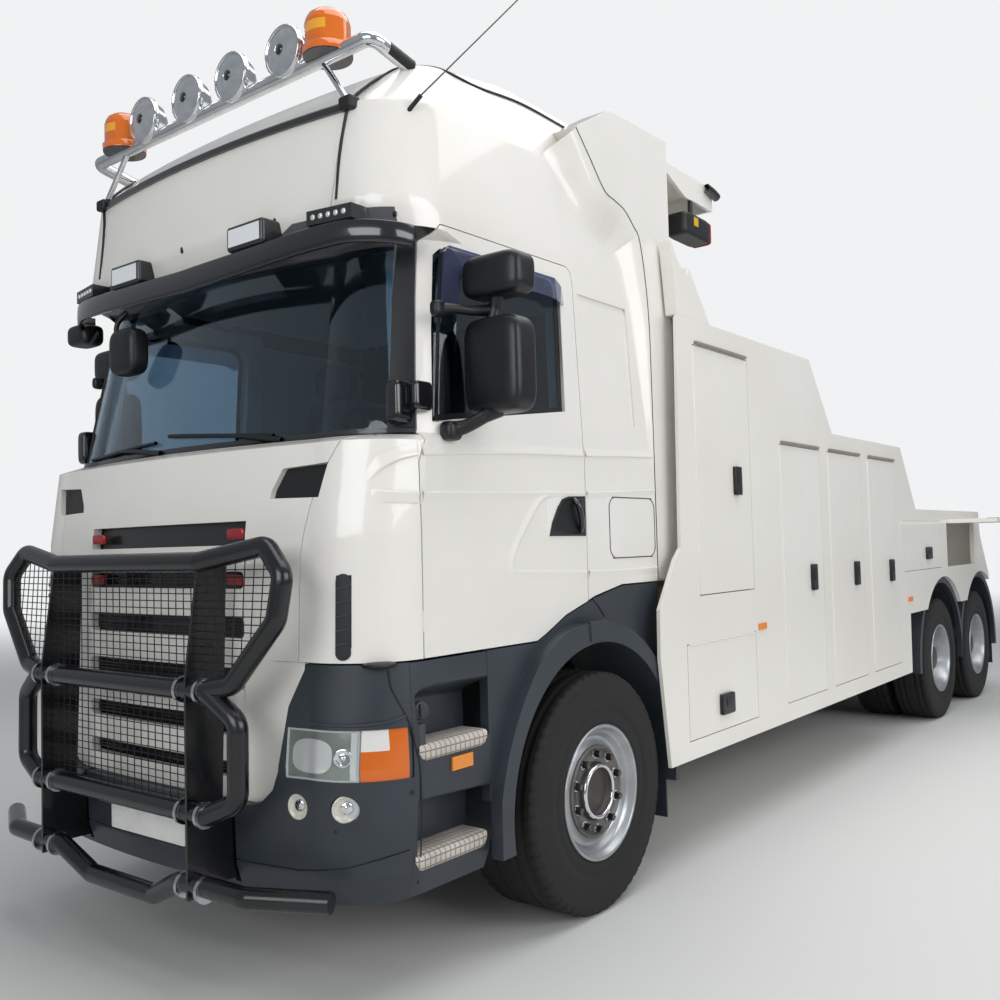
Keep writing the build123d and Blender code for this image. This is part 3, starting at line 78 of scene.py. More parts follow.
def add(tree, kind, inputs=None, **settings):
    """A shader node of that kind with its settings. Inputs maps a socket to a value, to a node's
    output or to a node, which stands for its first output."""
    made = tree.nodes.new("ShaderNode" + kind)
    for key, value in settings.items():
        setattr(made, key, value)
    for socket, value in (inputs or {}).items():
        if isinstance(value, bpy.types.Node):
            value = value.outputs[0]
        if isinstance(value, bpy.types.NodeSocket):
            tree.links.new(value, made.inputs[socket])
        else:
            made.inputs[socket].default_value = value
    return made


def blank(owner):
    """The node tree of a new material or world, emptied."""
    owner.use_nodes = True
    owner.node_tree.nodes.clear()
    return owner.node_tree


def studio_light(name, size, power, place, aim):
    """A rectangular light that faces the point aim."""
    lamp = bpy.data.lights.new(name, "AREA")
    lamp.shape, lamp.size, lamp.size_y, lamp.energy = "RECTANGLE", size[0], size[1], power
    holder = linked(name, lamp)
    holder.location = place
    holder.rotation_euler = (Vector(aim) - Vector(place)).to_track_quat("-Z", "Y").to_euler()


studio_light("overhead", (11.0, 8.0), 560.0, (1.5, 2.0, 9.0), (1.0, 0.0, 1.0))
studio_light("left_side", (9.0, 4.0), 400.0, (3.0, 11.0, 5.0), (0.5, 0.0, 1.4))
studio_light("front", (6.0, 4.0), 270.0, (13.0, 3.0, 4.5), (4.0, 0.0, 1.5))
world = bpy.data.worlds.new("studio")
bpy.context.scene.world = world
tree = blank(world)
sky = add(tree, "Background", {"Color": linear("#dfe5ec"), "Strength": 0.42})
backdrop = add(tree, "Background", {"Color": linear("#f1f2f3"), "Strength": 1.0})
seen = add(tree, "LightPath").outputs
through = add(tree, "Math", {0: seen["Is Camera Ray"], 1: seen["Is Transmission Ray"]}, operation="MAXIMUM")
add(tree, "OutputWorld", {0: add(tree, "MixShader", {0: through, 1: sky, 2: backdrop})})

# Floor: pale painted concrete, laid flat under the wheels. Well away from the truck it fades into
# the backdrop, which only the camera sees.
floor_mesh = bpy.data.meshes.new("floor")
floor_mesh.from_pydata([(-60, -60, 0), (60, -60, 0), (60, 60, 0), (-60, 60, 0)], [], [(0, 1, 2, 3)])
floor = linked("floor", floor_mesh)
floor_paint = bpy.data.materials.new("pale_floor")
tree = blank(floor_paint)
cover = add(tree, "BsdfDiffuse", {"Color": linear("#d6d6d4")})
far = add(tree, "Emission", {"Color": linear("#f1f2f3"), "Strength": 1.0})
place = add(tree, "TexCoord").outputs["Object"]
reach = add(tree, "VectorMath", {0: place}, operation="LENGTH").outputs["Value"]
fade = add(tree, "MapRange", {0: reach, 1: 7.0, 2: 24.0}, interpolation_type="SMOOTHSTEP")
seen = add(tree, "LightPath").outputs["Is Camera Ray"]
mask = add(tree, "Math", {0: fade, 1: seen}, operation="MULTIPLY")
add(tree, "OutputMaterial", {0: add(tree, "MixShader", {0: mask, 1: cover, 2: far})})
floor_mesh.materials.append(floor_paint)


# Body paint: two-pack white enamel sprayed over steel and moulded panels. A clear gloss top coat
# lies over it, with the fine orange peel of a sprayed surface. Soft clouds of a duller white run over all of
# it.


def finish(name, code, worn, rough, cloud=1.8, grain=260.0, depth=0.02, spread=0.06, zones=(), **sockets):
    """A finish with soft clouds between two colours, uneven gloss and a fine grain.

    Each zone is a box on the finished piece, x from the front axle, |y| and z, with its own colour,
    roughness and metal share. Principled sockets are set by name, with underscores for blanks."""
    made = bpy.data.materials.new(name)
    tree = blank(made)
    shader = add(tree, "BsdfPrincipled", {k.replace("_", " "): v for k, v in sockets.items()})
    add(tree, "OutputMaterial", {0: shader})
    place = add(tree, "TexCoord").outputs["Object"]
    clouds = add(tree, "TexNoise", {"Vector": place, "Scale": cloud, "Detail": 5.0})
    soft = add(tree, "MapRange", {0: clouds, 1: 0.35, 2: 0.7})
    colour = add(tree, "Mix", {0: soft, 6: linear(code), 7: linear(worn)}, data_type="RGBA").outputs[2]
    gloss = add(tree, "MapRange", {0: clouds, 1: 0.3, 2: 0.75, 3: rough - spread, 4: rough + spread})
    if zones:
        split = add(tree, "SeparateXYZ", {0: place}).outputs
        across = add(tree, "Math", {0: split[1]}, operation="ABSOLUTE")
        metal = add(tree, "Value")
        metal.outputs[0].default_value = sockets.get("Metallic", 0.0)
    for box, zone_code, zone_rough, zone_metal in zones:
        mask = None
        for source, (low, high), shift in zip((split[0], across, split[2]), box, (axle, 0.0, 0.0)):
            if low is None:
                continue
            part = add(tree, "Math", {0: source, 1: (low + high) / 2 + shift, 2: (high - low) / 2},
                       operation="COMPARE")
            mask = part if mask is None else add(tree, "Math", {0: mask, 1: part}, operation="MULTIPLY")
        colour = add(tree, "Mix", {0: mask, 6: colour, 7: linear(zone_code)}, data_type="RGBA").outputs[2]
        gloss = add(tree, "Mix", {0: mask, 2: gloss, 3: zone_rough}, data_type="FLOAT")
        metal = add(tree, "Mix", {0: mask, 2: metal, 3: zone_metal}, data_type="FLOAT")
    tree.links.new(colour, shader.inputs["Base Color"])
    tree.links.new(gloss.outputs[0], shader.inputs["Roughness"])
    if zones:
        tree.links.new(metal.outputs[0], shader.inputs["Metallic"])
    if depth:
        fine = add(tree, "TexNoise", {"Vector": place, "Scale": grain, "Detail": 2.0})
        bump = add(tree, "Bump", {"Height": fine, "Strength": depth, "Distance": 0.001})
        tree.links.new(bump.outputs[0], shader.inputs["Normal"])
    return made


def coat(material, *names):
    """Puts one material on CAD nodes."""
    for name in names:
        slots = node[name].material_slots
        if not slots:
            node[name].data.materials.append(material)
        for held in slots:
            held.material = material


enamel = dict(spread=0.015, Coat_Weight=0.7, Coat_Roughness=0.05, Coat_IOR=1.5)
anywhere = (None, None)


def cab_enamel(name, *zones):
    """The cab's white, with trim of other colours in the zones."""
    return finish(name, "#eeebe5", "#e8e5de", 0.32, grain=420.0, zones=zones, **enamel)


cab_white = cab_enamel("cab_enamel")
locker_white = finish("body_enamel", "#edeae3", "#e6e2da", 0.36, cloud=0.9, grain=380.0, depth=0.03,
                      **enamel)
leaf_white = finish("leaf_enamel", "#edeae3", "#e6e2da", 0.35, cloud=1.1, grain=380.0, depth=0.03, zones=[
    (((-4.5, -0.7), (1.2812, 1.4), (0.5, 2.3)), "#141518", 0.4, 0.0),
    (((-5.4, -5.0), (1.2812, 1.4), (1.3, 1.7)), "#141518", 0.4, 0.0),
    (((-6.6, -6.1), anywhere, (1.774, 1.9)), "#141518", 0.4, 0.0)], **enamel)
locker_leaves = [f"locker_{leaf}_{side}" for side in ("left", "right")
                 for leaf in ("tall", "flap", "second", "third", "fourth", "rear_flap", "tail_flap")]

# Running gear: painted steel channels, forged axles and leaf springs with the engine between them,
# all dulled by road dirt.
road_steel = finish("road_steel", "#2b2c2e", "#4a4640", 0.62, cloud=6.0, grain=90.0, depth=0.25)
coat(road_steel, "chassis_frame", "axles", "knuckle_left", "knuckle_right", "engine")

# Cab shell: pressed steel under white enamel, with satin black trim on the windscreen pillars and
# a matt black cowl under the glass. The doors hang on its front edges.
shell_white = cab_enamel(
    "shell_enamel", (((0.925, 1.5), anywhere, (2.0635, 2.884)), "#15171b", 0.42, 0.0),
    (((1.3, 1.4), (0.0, 0.62), (1.2355, 1.8)), "#0d0e10", 0.5, 0.0),
    (((-0.85, 1.2), (0.0, 1.06), (1.45, 2.95)), "#56565a", 0.85, 0.0))
coat(shell_white, "cab_shell")
handle_pocket = ((0.03, 0.272), (1.0, 1.1885), (1.672, 1.838))
coat(cab_enamel("door_enamel", (handle_pocket, "#0f1013", 0.3, 0.0)), "door_left", "door_right")
roof_white = finish("roof_enamel", "#efece6", "#e9e6df", 0.3, grain=420.0, zones=[
    (((1.0, 1.4), (0.0, 0.885), (3.3615, 3.4025)), "#1a1b1e", 0.35, 0.0)], **enamel)
coat(roof_white, "cab_roof")
front_vent = ((0.9, 1.45), (1.0015, 1.0545), (1.29, 1.549))
coat(cab_enamel("front_enamel", (front_vent, "#17191c", 0.5, 0.0)), "cab_front")
coat(cab_white, "cab_fairings", "grille")

# Glass: a blue-green tinted windscreen of laminated glass, bonded into the shell, and grey tinted
# panes of toughened glass in the doors.
wind_glass = finish("windscreen_glass", "#9db6c8", "#97b1c4", 0.01, depth=0.0, spread=0.005,
                    Transmission_Weight=1.0, IOR=1.45)
side_glass = finish("door_glass", "#7f93a0", "#7a8f9c", 0.01, depth=0.0, spread=0.005,
                    Transmission_Weight=1.0, IOR=1.45)
coat(wind_glass, "windscreen")
coat(side_glass, "door_glass_left", "door_glass_right")

# Cab interior: grey moulded dash, cloth seats with foam cushions, and a bunk with its mattress behind
# them. The dash is the part of the CAD's interior that lies ahead of the seats.


def piece(name, points, faces, material, body="truck", smooth=True):
    """A new piece that rides on a body. Points in metres, x from the front axle."""
    mesh = bpy.data.meshes.new(name)
    points = np.asarray(points, float).reshape(-1, 3) + (axle, 0.0, 0.0)
    mesh.from_pydata(points.tolist(), [], [list(map(int, f)) for f in faces])
    mesh.polygons.foreach_set("use_smooth", [smooth] * len(mesh.polygons))
    mesh.validate()
    mesh.materials.append(material)
    made = linked(name, mesh)
    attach(made, body)
    return made


def around(n):
    """n angles that share out a full turn, from 0."""
    return np.linspace(0, 2 * math.pi, n, endpoint=False)


def raised(w, k):
    """w with its size raised to the power k and its sign kept."""
    return np.sign(w) * np.abs(w) ** k


def net(rows, columns, around_rows=False, around_columns=False, count=1):
    """Quads of a rows by columns net of points, closed round either way if asked, for count such nets."""
    r = np.arange(rows if around_rows else rows - 1)
    c = np.arange(columns if around_columns else columns - 1)
    r, c = (a.ravel() for a in np.meshgrid(r, c, indexing="ij"))
    r2, c2 = (r + 1) % rows, (c + 1) % columns
    quads = np.stack((r * columns + c, r * columns + c2, r2 * columns + c2, r2 * columns + c), 1)
    return (quads + np.arange(count)[:, None, None] * rows * columns).reshape(-1, 4)


def pillow(name, centre, size, material, body="truck", corner=0.25, n=24):
    """A rounded block: a superquadric whose corner value runs from 0, a box, to 1, an ellipsoid."""
    a = np.linspace(-math.pi / 2, math.pi / 2, n + 1)[:, None]
    b = around(2 * n)
    level = raised(np.cos(a), corner)
    grid = np.stack((level * raised(np.cos(b), corner), level * raised(np.sin(b), corner),
                     raised(np.sin(a), corner) + 0 * b), -1) * np.asarray(size) / 2 + centre
    return piece(name, grid, net(n + 1, 2 * n, around_columns=True), material, body)


dash_grey = finish("dash_plastic", "#33363a", "#3c3f43", 0.6, grain=700.0, depth=0.3)
cloth = finish("cabin_cloth", "#5a5d63", "#4c4f55", 0.92, cloud=9.0, grain=1400.0, depth=0.6)
coat(dash_grey, "cab_interior")
held = node["cab_interior"].data
spots = np.array([v.co for v in held.vertices])
ahead = [list(p.vertices) for p in held.polygons if spots[list(p.vertices), 0].min() > axle + 0.44]
dash = piece("dashboard", spots - (axle, 0, 0), ahead, dash_grey, smooth=False)
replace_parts(dash, "cab_interior")
seat_y = 0.56
sides = ((1, "left"), (-1, "right"))
for side, name in sides:
    for part, (x, z), size in (("cushion", (0.175, 1.845), (0.5, 0.49, 0.17)),
                               ("base", (0.165, 1.62), (0.33, 0.36, 0.3)),
                               ("backrest", (-0.12, 2.19), (0.13, 0.49, 0.62)),
                               ("headrest", (-0.115, 2.6), (0.11, 0.28, 0.2))):
        made = pillow(f"seat_{part}_{name}", (x, side * seat_y, z), size, cloth, corner=0.45)
pillow("bunk_mattress", (-0.52, 0.0, 1.86), (0.52, 1.96, 0.16), cloth, corner=0.3)
pillow("bunk_base", (-0.545, 0.0, 1.62), (0.48, 1.98, 0.31), dash_grey, corner=0.1)

# Cab front details: dark corner recesses, vents beside the grille, and a net behind the grille's
# slots with thin level slats across them. Red marker lamps sit in two of its bars.


def rows_at(rows, z):
    """The five values of an outline's rows at the height z, read between them."""
    return (np.interp(z, rows[:, 0], rows[:, k]) for k in range(1, 6))


def front_x(rows, y, z):
    """x of the front skin at y and z: a shallow parabola over the middle, an ellipse round the corner."""
    nose, bow, start, side_x, half = rows_at(rows, z)
    reach = np.abs(y)
    turn = np.clip((reach - start) / (half - start), 0, 1)
    middle = nose - bow * np.clip(reach / start, 0, 1) ** 2
    return np.where(reach <= start, middle, side_x + (nose - bow - side_x) * np.sqrt(1 - turn ** 2))


def patch(name, outline, rows, depth, material, side, step=0.02):
    """A sheet that follows the front skin at a depth, cut to an outline in y and z. The outline is
    walked in steps, and a square net of points fills it up to near that edge."""
    a = np.asarray(outline, float)
    b = np.roll(a, -1, 0)
    edge = np.vstack([np.linspace(p, q, max(int(np.hypot(*(q - p)) / step), 1), endpoint=False)
                      for p, q in zip(a, b)])
    gy, gz = (g.ravel() for g in np.meshgrid(*(np.arange(*ends, step) for ends in zip(a.min(0), a.max(0)))))
    crosses = ((a[:, 1] > gz[:, None]) != (b[:, 1] > gz[:, None]))
    rise = np.where(b[:, 1] == a[:, 1], 1e-9, b[:, 1] - a[:, 1])
    at = (b[:, 0] - a[:, 0]) * (gz[:, None] - a[:, 1]) / rise
    inside = (crosses & (gy[:, None] < at + a[:, 0])).sum(1) % 2 == 1
    near = np.hypot(gy[:, None] - edge[:, 0], gz[:, None] - edge[:, 1]).min(1)
    flat = np.vstack((edge, np.stack((gy, gz), 1)[inside & (near > 0.4 * step)]))
    points, _, faces, *_ = delaunay_2d_cdt([Vector(p) for p in flat.tolist()], [],
                                           [list(range(len(edge)))], 1, 1e-6)
    y, z = np.array([tuple(p) for p in points]).T
    skin = np.stack((front_x(rows, y, z) - depth, side * y, z), 1)
    return piece(name, skin, [f[::side] for f in faces], material)


def unit(vectors):
    """Vectors along the last axis, each made 1 long."""
    return vectors / np.linalg.norm(vectors, axis=-1, keepdims=True)


def circle(n, u, v):
    """n points round each circle of radius 1 with the axes u and v."""
    a = around(n)[:, None]
    return np.cos(a) * u[..., None, :] + np.sin(a) * v[..., None, :]


def wires(name, starts, ends, r, material, body="truck", n=6):
    """Straight round wires between pairs of points, all one piece; each ring is a circle of radius r."""
    starts, ends = (np.asarray(v, float).reshape(-1, 3) for v in (starts, ends))
    run = unit(ends - starts)
    u = unit(np.cross(run, np.where(np.abs(run[:, 2:]) < 0.9, (0.0, 0.0, 1.0), (1.0, 0.0, 0.0))))
    ring = r * circle(n, u, np.cross(run, u))
    points = np.stack((starts[:, None] + ring, ends[:, None] + ring), 1)
    return piece(name, points, net(2, n, around_columns=True, count=len(starts))[:, ::-1], material, body)


matt_black = finish("matt_black", "#0e0f12", "#15161a", 0.42, grain=500.0, depth=0.15)
moulded_trim = finish("moulded_trim", "#2b3138", "#343b43", 0.42, cloud=3.5, grain=900.0, depth=0.25)
gloss_black = finish("gloss_black", "#0c0d0f", "#141518", 0.14, grain=300.0, depth=0.01, spread=0.03,
                     Coat_Weight=0.8)
# the cab's outline at each height, read from the pressed panels: height, nose, bow of the nose, half
# width where the corner curve starts, where it meets the side, and the half width of the side.
cab_rows = np.array([
    (1.235, 1.43, 0.045, 0.88, 1.1, 1.19), (1.7, 1.42, 0.05, 0.88, 1.095, 1.192),
    (2.04, 1.385, 0.06, 0.87, 1.06, 1.19), (2.075, 1.318, 0.085, 0.78, 0.9, 1.186),
    (2.85, 1.15, 0.085, 0.71, 0.78, 1.15), (2.885, 1.225, 0.075, 0.8, 0.88, 1.147),
    (2.985, 1.25, 0.07, 0.81, 0.9, 1.142), (3.39, 1.19, 0.06, 0.85, 0.85, 1.105),
    (3.59, 0.965, 0.05, 0.9, 0.78, 1.066), (3.705, 0.52, 0.04, 0.72, 0.3, 1.0)])
recess = [(0.667, 1.842), (0.674, 1.871), (0.721, 1.95), (0.943, 1.96), (0.909, 1.837)]
vent = [(1.009, 1.265), (1.049, 1.32), (1.052, 1.547), (1.005, 1.532)]
for side, name in sides:
    patch(f"corner_recess_{name}", recess, cab_rows, 0.022, matt_black, side)
    patch(f"corner_vent_{name}", vent, cab_rows, 0.024, matt_black, side, step=0.012)
# over each vent: a rounded dark mouth with five thin slats across
a, mouth_r = around(40), 0.0265
mouth = np.stack((1.029 + mouth_r * np.cos(a), 1.4 + mouth_r * np.sin(a) + 0.128 * np.sign(np.sin(a))), 1)
for side, name in sides:
    patch(f"vent_mouth_{name}", mouth, cab_rows, -0.006, matt_black, side, step=0.008)
    slat_z = np.linspace(1.3, 1.5, 5)
    slat_ends = [[(float(front_x(cab_rows, y, z + rise)) + 0.007, side * y, z + rise) for z in slat_z]
                 for y, rise in ((1.006, 0.0), (1.052, 0.008))]
    wires(f"vent_slats_{name}", *slat_ends, 0.0035, moulded_trim)
slot_net = finish("slot_net", "#0d0e10", "#191a1c", 0.5, grain=350.0, depth=0.6)
slot_half, slot_low, slot_high = 0.6, 0.74, 1.8
y, z = np.meshgrid(np.linspace(-slot_half, slot_half, 25), np.linspace(slot_low, slot_high, 23))
piece("grille_backing", np.stack((1.348 - 0.02 * y ** 2, y, z), -1), net(23, 25), slot_net)
level_z = np.concatenate([np.arange(low + 0.012, high, 0.014) for low, high in
                          ((0.78, 0.838), (0.94, 1.008), (1.115, 1.196), (1.31, 1.39), (1.5, 1.566))])
bar_y = np.linspace(-0.545, 0.545, 7)
ends = [[(1.392 - 0.065 * y * y if z > 1.235 else 1.372, y, z) for y in bar_y] for z in level_z]
wires("grille_slats", [e for row in ends for e in row[:-1]], [e for row in ends for e in row[1:]], 0.0032,
      gloss_black)
red_lens = finish("red_lens", "#a3121a", "#8f0f17", 0.12, cloud=30.0, grain=220.0, depth=0.4,
                  Coat_Weight=0.6)
for side, name in sides:
    for x, y, z, row in ((1.402, 0.49, 1.533, "upper"), (1.398, 0.488, 1.712, "slot")):
        pillow(f"marker_{row}_{name}", (x, side * y, z), (0.022, 0.098, 0.042), red_lens, corner=0.35, n=14)

# Pillar covers and pressed lines: satin black covers on the windscreen pillars, two creases that
# run back from the corner piece, a line swept round the door handle, and the side hatch.


def curve(path):
    """A Catmull-Rom curve through the points, ten steps a span: how many spans each step is along the
    path, and its point."""
    path = np.asarray(path, float)
    spans = len(path) - 1
    t = np.linspace(0, spans, 10 * spans + 1)
    k = np.minimum(t.astype(int), spans - 1)
    f = (t - k)[:, None]
    ends = np.vstack((2 * path[0] - path[1], path, 2 * path[-1] - path[-2]))
    p0, p1, p2, p3 = (ends[k + i] for i in range(4))
    line = 0.5 * (2 * p1 + (p2 - p0) * f + (2 * p0 - 5 * p1 + 4 * p2 - p3) * f ** 2
                  + (3 * p1 - p0 - 3 * p2 + p3) * f ** 3)
    return t, line


def hose(name, path, r, material, body="truck", n=10):
    """A round bar along a smooth curve through the path's points, radius r or one a point."""
    t, line = curve(path)
    run = unit(np.gradient(line, axis=0))
    u = unit(np.cross(run, (0.0, 0.0, 1.0) if abs(run[:, 2]).max() < 0.95 else (0.3, 1.0, 0.1)))
    wide = np.interp(t, np.arange(len(path)), np.broadcast_to(r, len(path)))[:, None, None]
    points = line[:, None] + wide * circle(n, u, np.cross(run, u))
    return piece(name, points, net(len(t), n, around_columns=True)[:, ::-1], material, body)


def flip(points, side):
    """Points of the left side, mirrored to the right one for side -1."""
    return np.asarray(points) * (1, side, 1)


def sided(name, grid, side, material, body="truck", closed=False, smooth=True, turn=1):
    """A piece from a net of points on the left, flipped to its side; turn -1 faces it the other way."""
    faces = net(*grid.shape[:2], around_columns=closed)[:, ::side * turn]
    return piece(name, flip(grid, side), faces, material, body, smooth)


def beside(line):
    """Unit vectors square to a line of points in a plane, on its right."""
    run = unit(np.gradient(line, axis=0))
    return np.stack((run[:, 1], -run[:, 0]), 1)


pillar = [(1.06, 2.096), (1.034, 2.398), (1.013, 2.6), (0.991, 2.83), (0.989, 2.866), (1.051, 2.866),
          (1.058, 2.84), (1.08, 2.6), (1.113, 2.279), (1.132, 2.094)]


def side_skin(x, z, away=0.0):
    """The cab's left side at x and z, moved out by away: flat behind, an ellipse round the corner."""
    nose, bow, start, side_x, half = rows_at(cab_rows, z)
    long, wide = nose - bow - side_x, half - start
    turn = np.clip((x - side_x) / long, 0, 0.999)
    level = np.sqrt(1 - turn ** 2)
    size = np.hypot(turn / long, level / wide)
    y = start + wide * level + away * level / wide / size
    return np.stack((x + away * turn / long / size, y, z), -1)


def crease(name, path, body, side, up, grow=0.0, fade=0.0):
    """A pressed line on the cab's side, along x and z: it rises softly on the side that up names and
    steps back at the line. Over the first grow and the last fade spans it comes out of the skin."""
    t, line = curve(path)
    across = up * beside(line)
    section = np.array([(0.042, -0.0008), (0.028, 0.0008), (0.013, 0.0042), (0.004, 0.0064), (0.0, 0.006),
                        (-0.003, -0.001)])
    share = np.ones_like(t)
    if grow:
        share = np.clip(t / grow, 0, 1)
    if fade:
        share = np.minimum(share, np.clip((t[-1] - t) / fade, 0, 1))
    away = section[None, :, 1] * share[:, None] - 0.001 * (1 - share[:, None])
    place = line[:, None] + section[None, :, :1] * across[:, None]
    grid = side_skin(place[..., 0], place[..., 1], away)
    return sided(name, grid, side, cab_white, body, turn=up)


def lid(name, centre, rings, side, body="truck"):
    """An oblong lid on the cab's side, of rings: half length and height, and distance out of the skin."""
    grid = np.stack([side_skin(*(centre + lid_ring * half).T, away) for half, away in rings])
    return sided(name, grid, side, cab_white, body, closed=True)


creases = [
    ("crease_high_front", "truck", 1, 2.0, 0.0,
     [(1.274, 1.876), (1.258, 1.903), (1.228, 1.938), (1.178, 1.965), (1.111, 1.982)]),
    ("crease_high_door", "door", 1, 0.0, 0.0, [(1.086, 1.984), (0.486, 2.02), (0.008, 2.036)]),
    ("crease_high_rear", "truck", 1, 0.0, 0.1, [(-0.012, 2.037), (-0.325, 2.052), (-0.689, 2.066)]),
    ("crease_low_front", "truck", -1, 1.5, 0.0,
     [(1.274, 1.858), (1.24, 1.851), (1.18, 1.847), (1.111, 1.846)]),
    ("crease_low_door", "door", -1, 0.0, 0.0, [(1.092, 1.846), (0.493, 1.861), (0.008, 1.874)]),
    ("crease_low_rear", "truck", -1, 0.0, 0.1, [(-0.012, 1.8745), (-0.305, 1.886), (-0.699, 1.907)]),
    ("swoop_door", "door", -1, 1.0, 0.0,
     [(0.17, 1.862), (0.316, 1.839), (0.383, 1.795), (0.503, 1.662), (0.547, 1.596), (0.557, 1.56),
      (0.535, 1.538), (0.44, 1.531), (0.008, 1.515)]),
    ("swoop_rear", "truck", -1, 0.0, 0.1, [(-0.012, 1.5145), (-0.35, 1.512), (-0.71, 1.514)])]
seam_r = 0.0026
round_64 = np.stack((np.cos(around(64)), np.sin(around(64))), 1)
lid_ring = np.clip(1.5 * round_64, -1, 1)
hatch_middle, hatch_half = np.array((-0.4215, 1.711)), np.array((0.2245, 0.144))
hatch_shift, hatch_round = np.array((0.0115, 0.0)), 0.055
hatch_ring = (hatch_shift + np.sign(round_64) * (hatch_half - hatch_round - hatch_shift)
              + hatch_round * round_64)
hatch_rings = [(hatch_half + 0.034, -0.0008), (hatch_half + 0.01, 0.002), (hatch_half * 0.5, 0.0022),
               (hatch_half * 0, 0.0022)]
for side, name in sides:
    patch(f"pillar_cover_{name}", pillar, cab_rows, -0.003, matt_black, side)
    for line, part, up, grow, fade, path in creases:
        crease(f"{line}_{name}", path, f"door_{name}" if part == "door" else "truck", side, up, grow, fade)
    lid(f"hatch_cover_{name}", hatch_middle, hatch_rings, side)
    seam = flip(side_skin(*(hatch_middle + hatch_ring).T, 0.0022), side)
    hose(f"hatch_seam_{name}", np.vstack((seam, seam[:1])), seam_r, matt_black, n=6)

# Side fairings: moulded panels behind the doors. A soft swell carries the cab's side out to each
# panel's front edge, where a thin black seam runs from the sill up to the roof.


def eased(share):
    """A soft step from 0 to 1: three times the share squared less twice its cube, level outside 0 to 1."""
    share = np.clip(share, 0, 1)
    return share ** 2 * (3 - 2 * share)


fairing_edge = [(-0.64, 1.452), (-0.639, 1.9), (-0.636, 2.35), (-0.632, 2.714), (-0.606, 2.96),
                (-0.559, 3.161), (-0.5, 3.222), (-0.42, 3.28), (-0.33, 3.305), (-0.238, 3.331),
                (-0.12, 3.45), (-0.004, 3.566)]
t, edge_line = curve(fairing_edge)
ahead_of = beside(edge_line)
swell = np.interp(edge_line[:, 1], (2.0, 2.7, 3.1), (0.01, 0.13, 0.24))
share = np.array([-0.08, 0.0, 0.06, 0.14, 0.24, 0.36, 0.5, 0.64, 0.76, 0.86, 0.94, 1.0])
place = edge_line[:, None] + (share * swell[:, None])[..., None] * ahead_of[:, None]
skin = side_skin(place[..., 0], place[..., 1], -0.0012)
panel_y = 1.196
skin[..., 1] = panel_y + (skin[..., 1] - panel_y) * eased(share)
seam_line = np.stack((edge_line[:, 0], np.full(len(t), panel_y + 0.0002), edge_line[:, 1]), 1)
for side, name in sides:
    sided(f"fairing_swell_{name}", skin, side, cab_white)
    hose(f"fairing_seam_{name}", flip(seam_line[::10], side), seam_r, matt_black, n=6)

# Bumper and wings: grey moulded plastic with a fine grain and soft clouds of a lighter grey. A short
# strap and a thin black seam mark the joint over each wheel arch.
moulded = finish("moulded_grey", "#2b3138", "#343b43", 0.42, cloud=3.5, grain=900.0, depth=0.25)
coat(moulded, "bumper", "mudguards")
cut = bmesh.new()
cut.from_mesh(node["bumper"].data)
bmesh.ops.bisect_plane(cut, geom=cut.verts[:] + cut.edges[:] + cut.faces[:], plane_co=(axle + 1.17, 0, 0),
                       plane_no=(1, 0, 0), clear_inner=True)
cut.verts.index_update()
bumper_skin = piece("bumper_skin", [tuple(v.co - Vector((axle, 0, 0))) for v in cut.verts],
                    [[v.index for v in f.verts] for f in cut.faces], moulded)
cut.free()
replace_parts(bumper_skin, "bumper")
wing_seam = [(-0.03, 1.1925, 1.392), (-0.052, 1.1925, 1.372), (-0.081, 1.1925, 1.35), (-0.132, 1.1925, 1.3)]
for side, name in sides:
    pillow(f"arch_strap_{name}", (0.012, side * 1.25, 1.25), (0.135, 0.016, 0.088), moulded, corner=0.08,
           n=12)
    hose(f"wing_seam_{name}", flip(wing_seam, side), 0.003, matt_black, n=6)

# Corner units: the skin runs on behind the front part, with a soft bowl over the upper tread and
# a plain well over the lower one. Each well: outline in x and z, depth, width of its rounded rim.


def turned(centre, direction, profile, n=48):
    """Points of a turned surface: radius and distance pairs swept round the direction, n steps."""
    z = unit(np.asarray(direction, float))
    x = unit(np.cross(z, (0.0, 0.0, 1.0) if abs(z[2]) < 0.9 else (1.0, 0.0, 0.0)))
    radius, run = (np.asarray(v, float)[:, None] for v in zip(*profile))
    return np.asarray(centre, float) + radius * circle(n, x, np.cross(z, x))[:, None] + run * z


def spin_piece(name, centre, direction, profile, material, body="truck", n=48):
    """A turned surface as one piece."""
    grid = turned(centre, direction, profile, n)
    return piece(name, grid, net(n, len(profile), around_rows=True), material, body)


bumper_rows = np.array([
    (0.38, 1.445, 0.07, 0.86, 1.09, 1.15), (0.47, 1.475, 0.075, 0.88, 1.1, 1.185),
    (0.86, 1.49, 0.08, 0.9, 1.11, 1.2), (1.228, 1.44, 0.06, 0.89, 1.1, 1.19)])
corner_wells = [
    ([(1.141, 0.905), (1.163, 1.11), (1.131, 1.134), (1.05, 1.143), (0.69, 1.136), (0.69, 0.905)],
     0.135, 0.075),
    ([(1.156, 0.512), (1.148, 0.735), (0.69, 0.708), (0.69, 0.512)], 0.125, 0.022)]
x, z = np.meshgrid(np.linspace(0.742, 1.1712, 74), np.linspace(0.3815, 1.2268, 132))
nose, bow, start, side_x, half = rows_at(bumper_rows, z)
skin_y = start + (half - start) * np.sqrt(1 - np.clip((x - side_x) / (nose - bow - side_x), 0, 1) ** 2)
sunk = np.zeros_like(x)
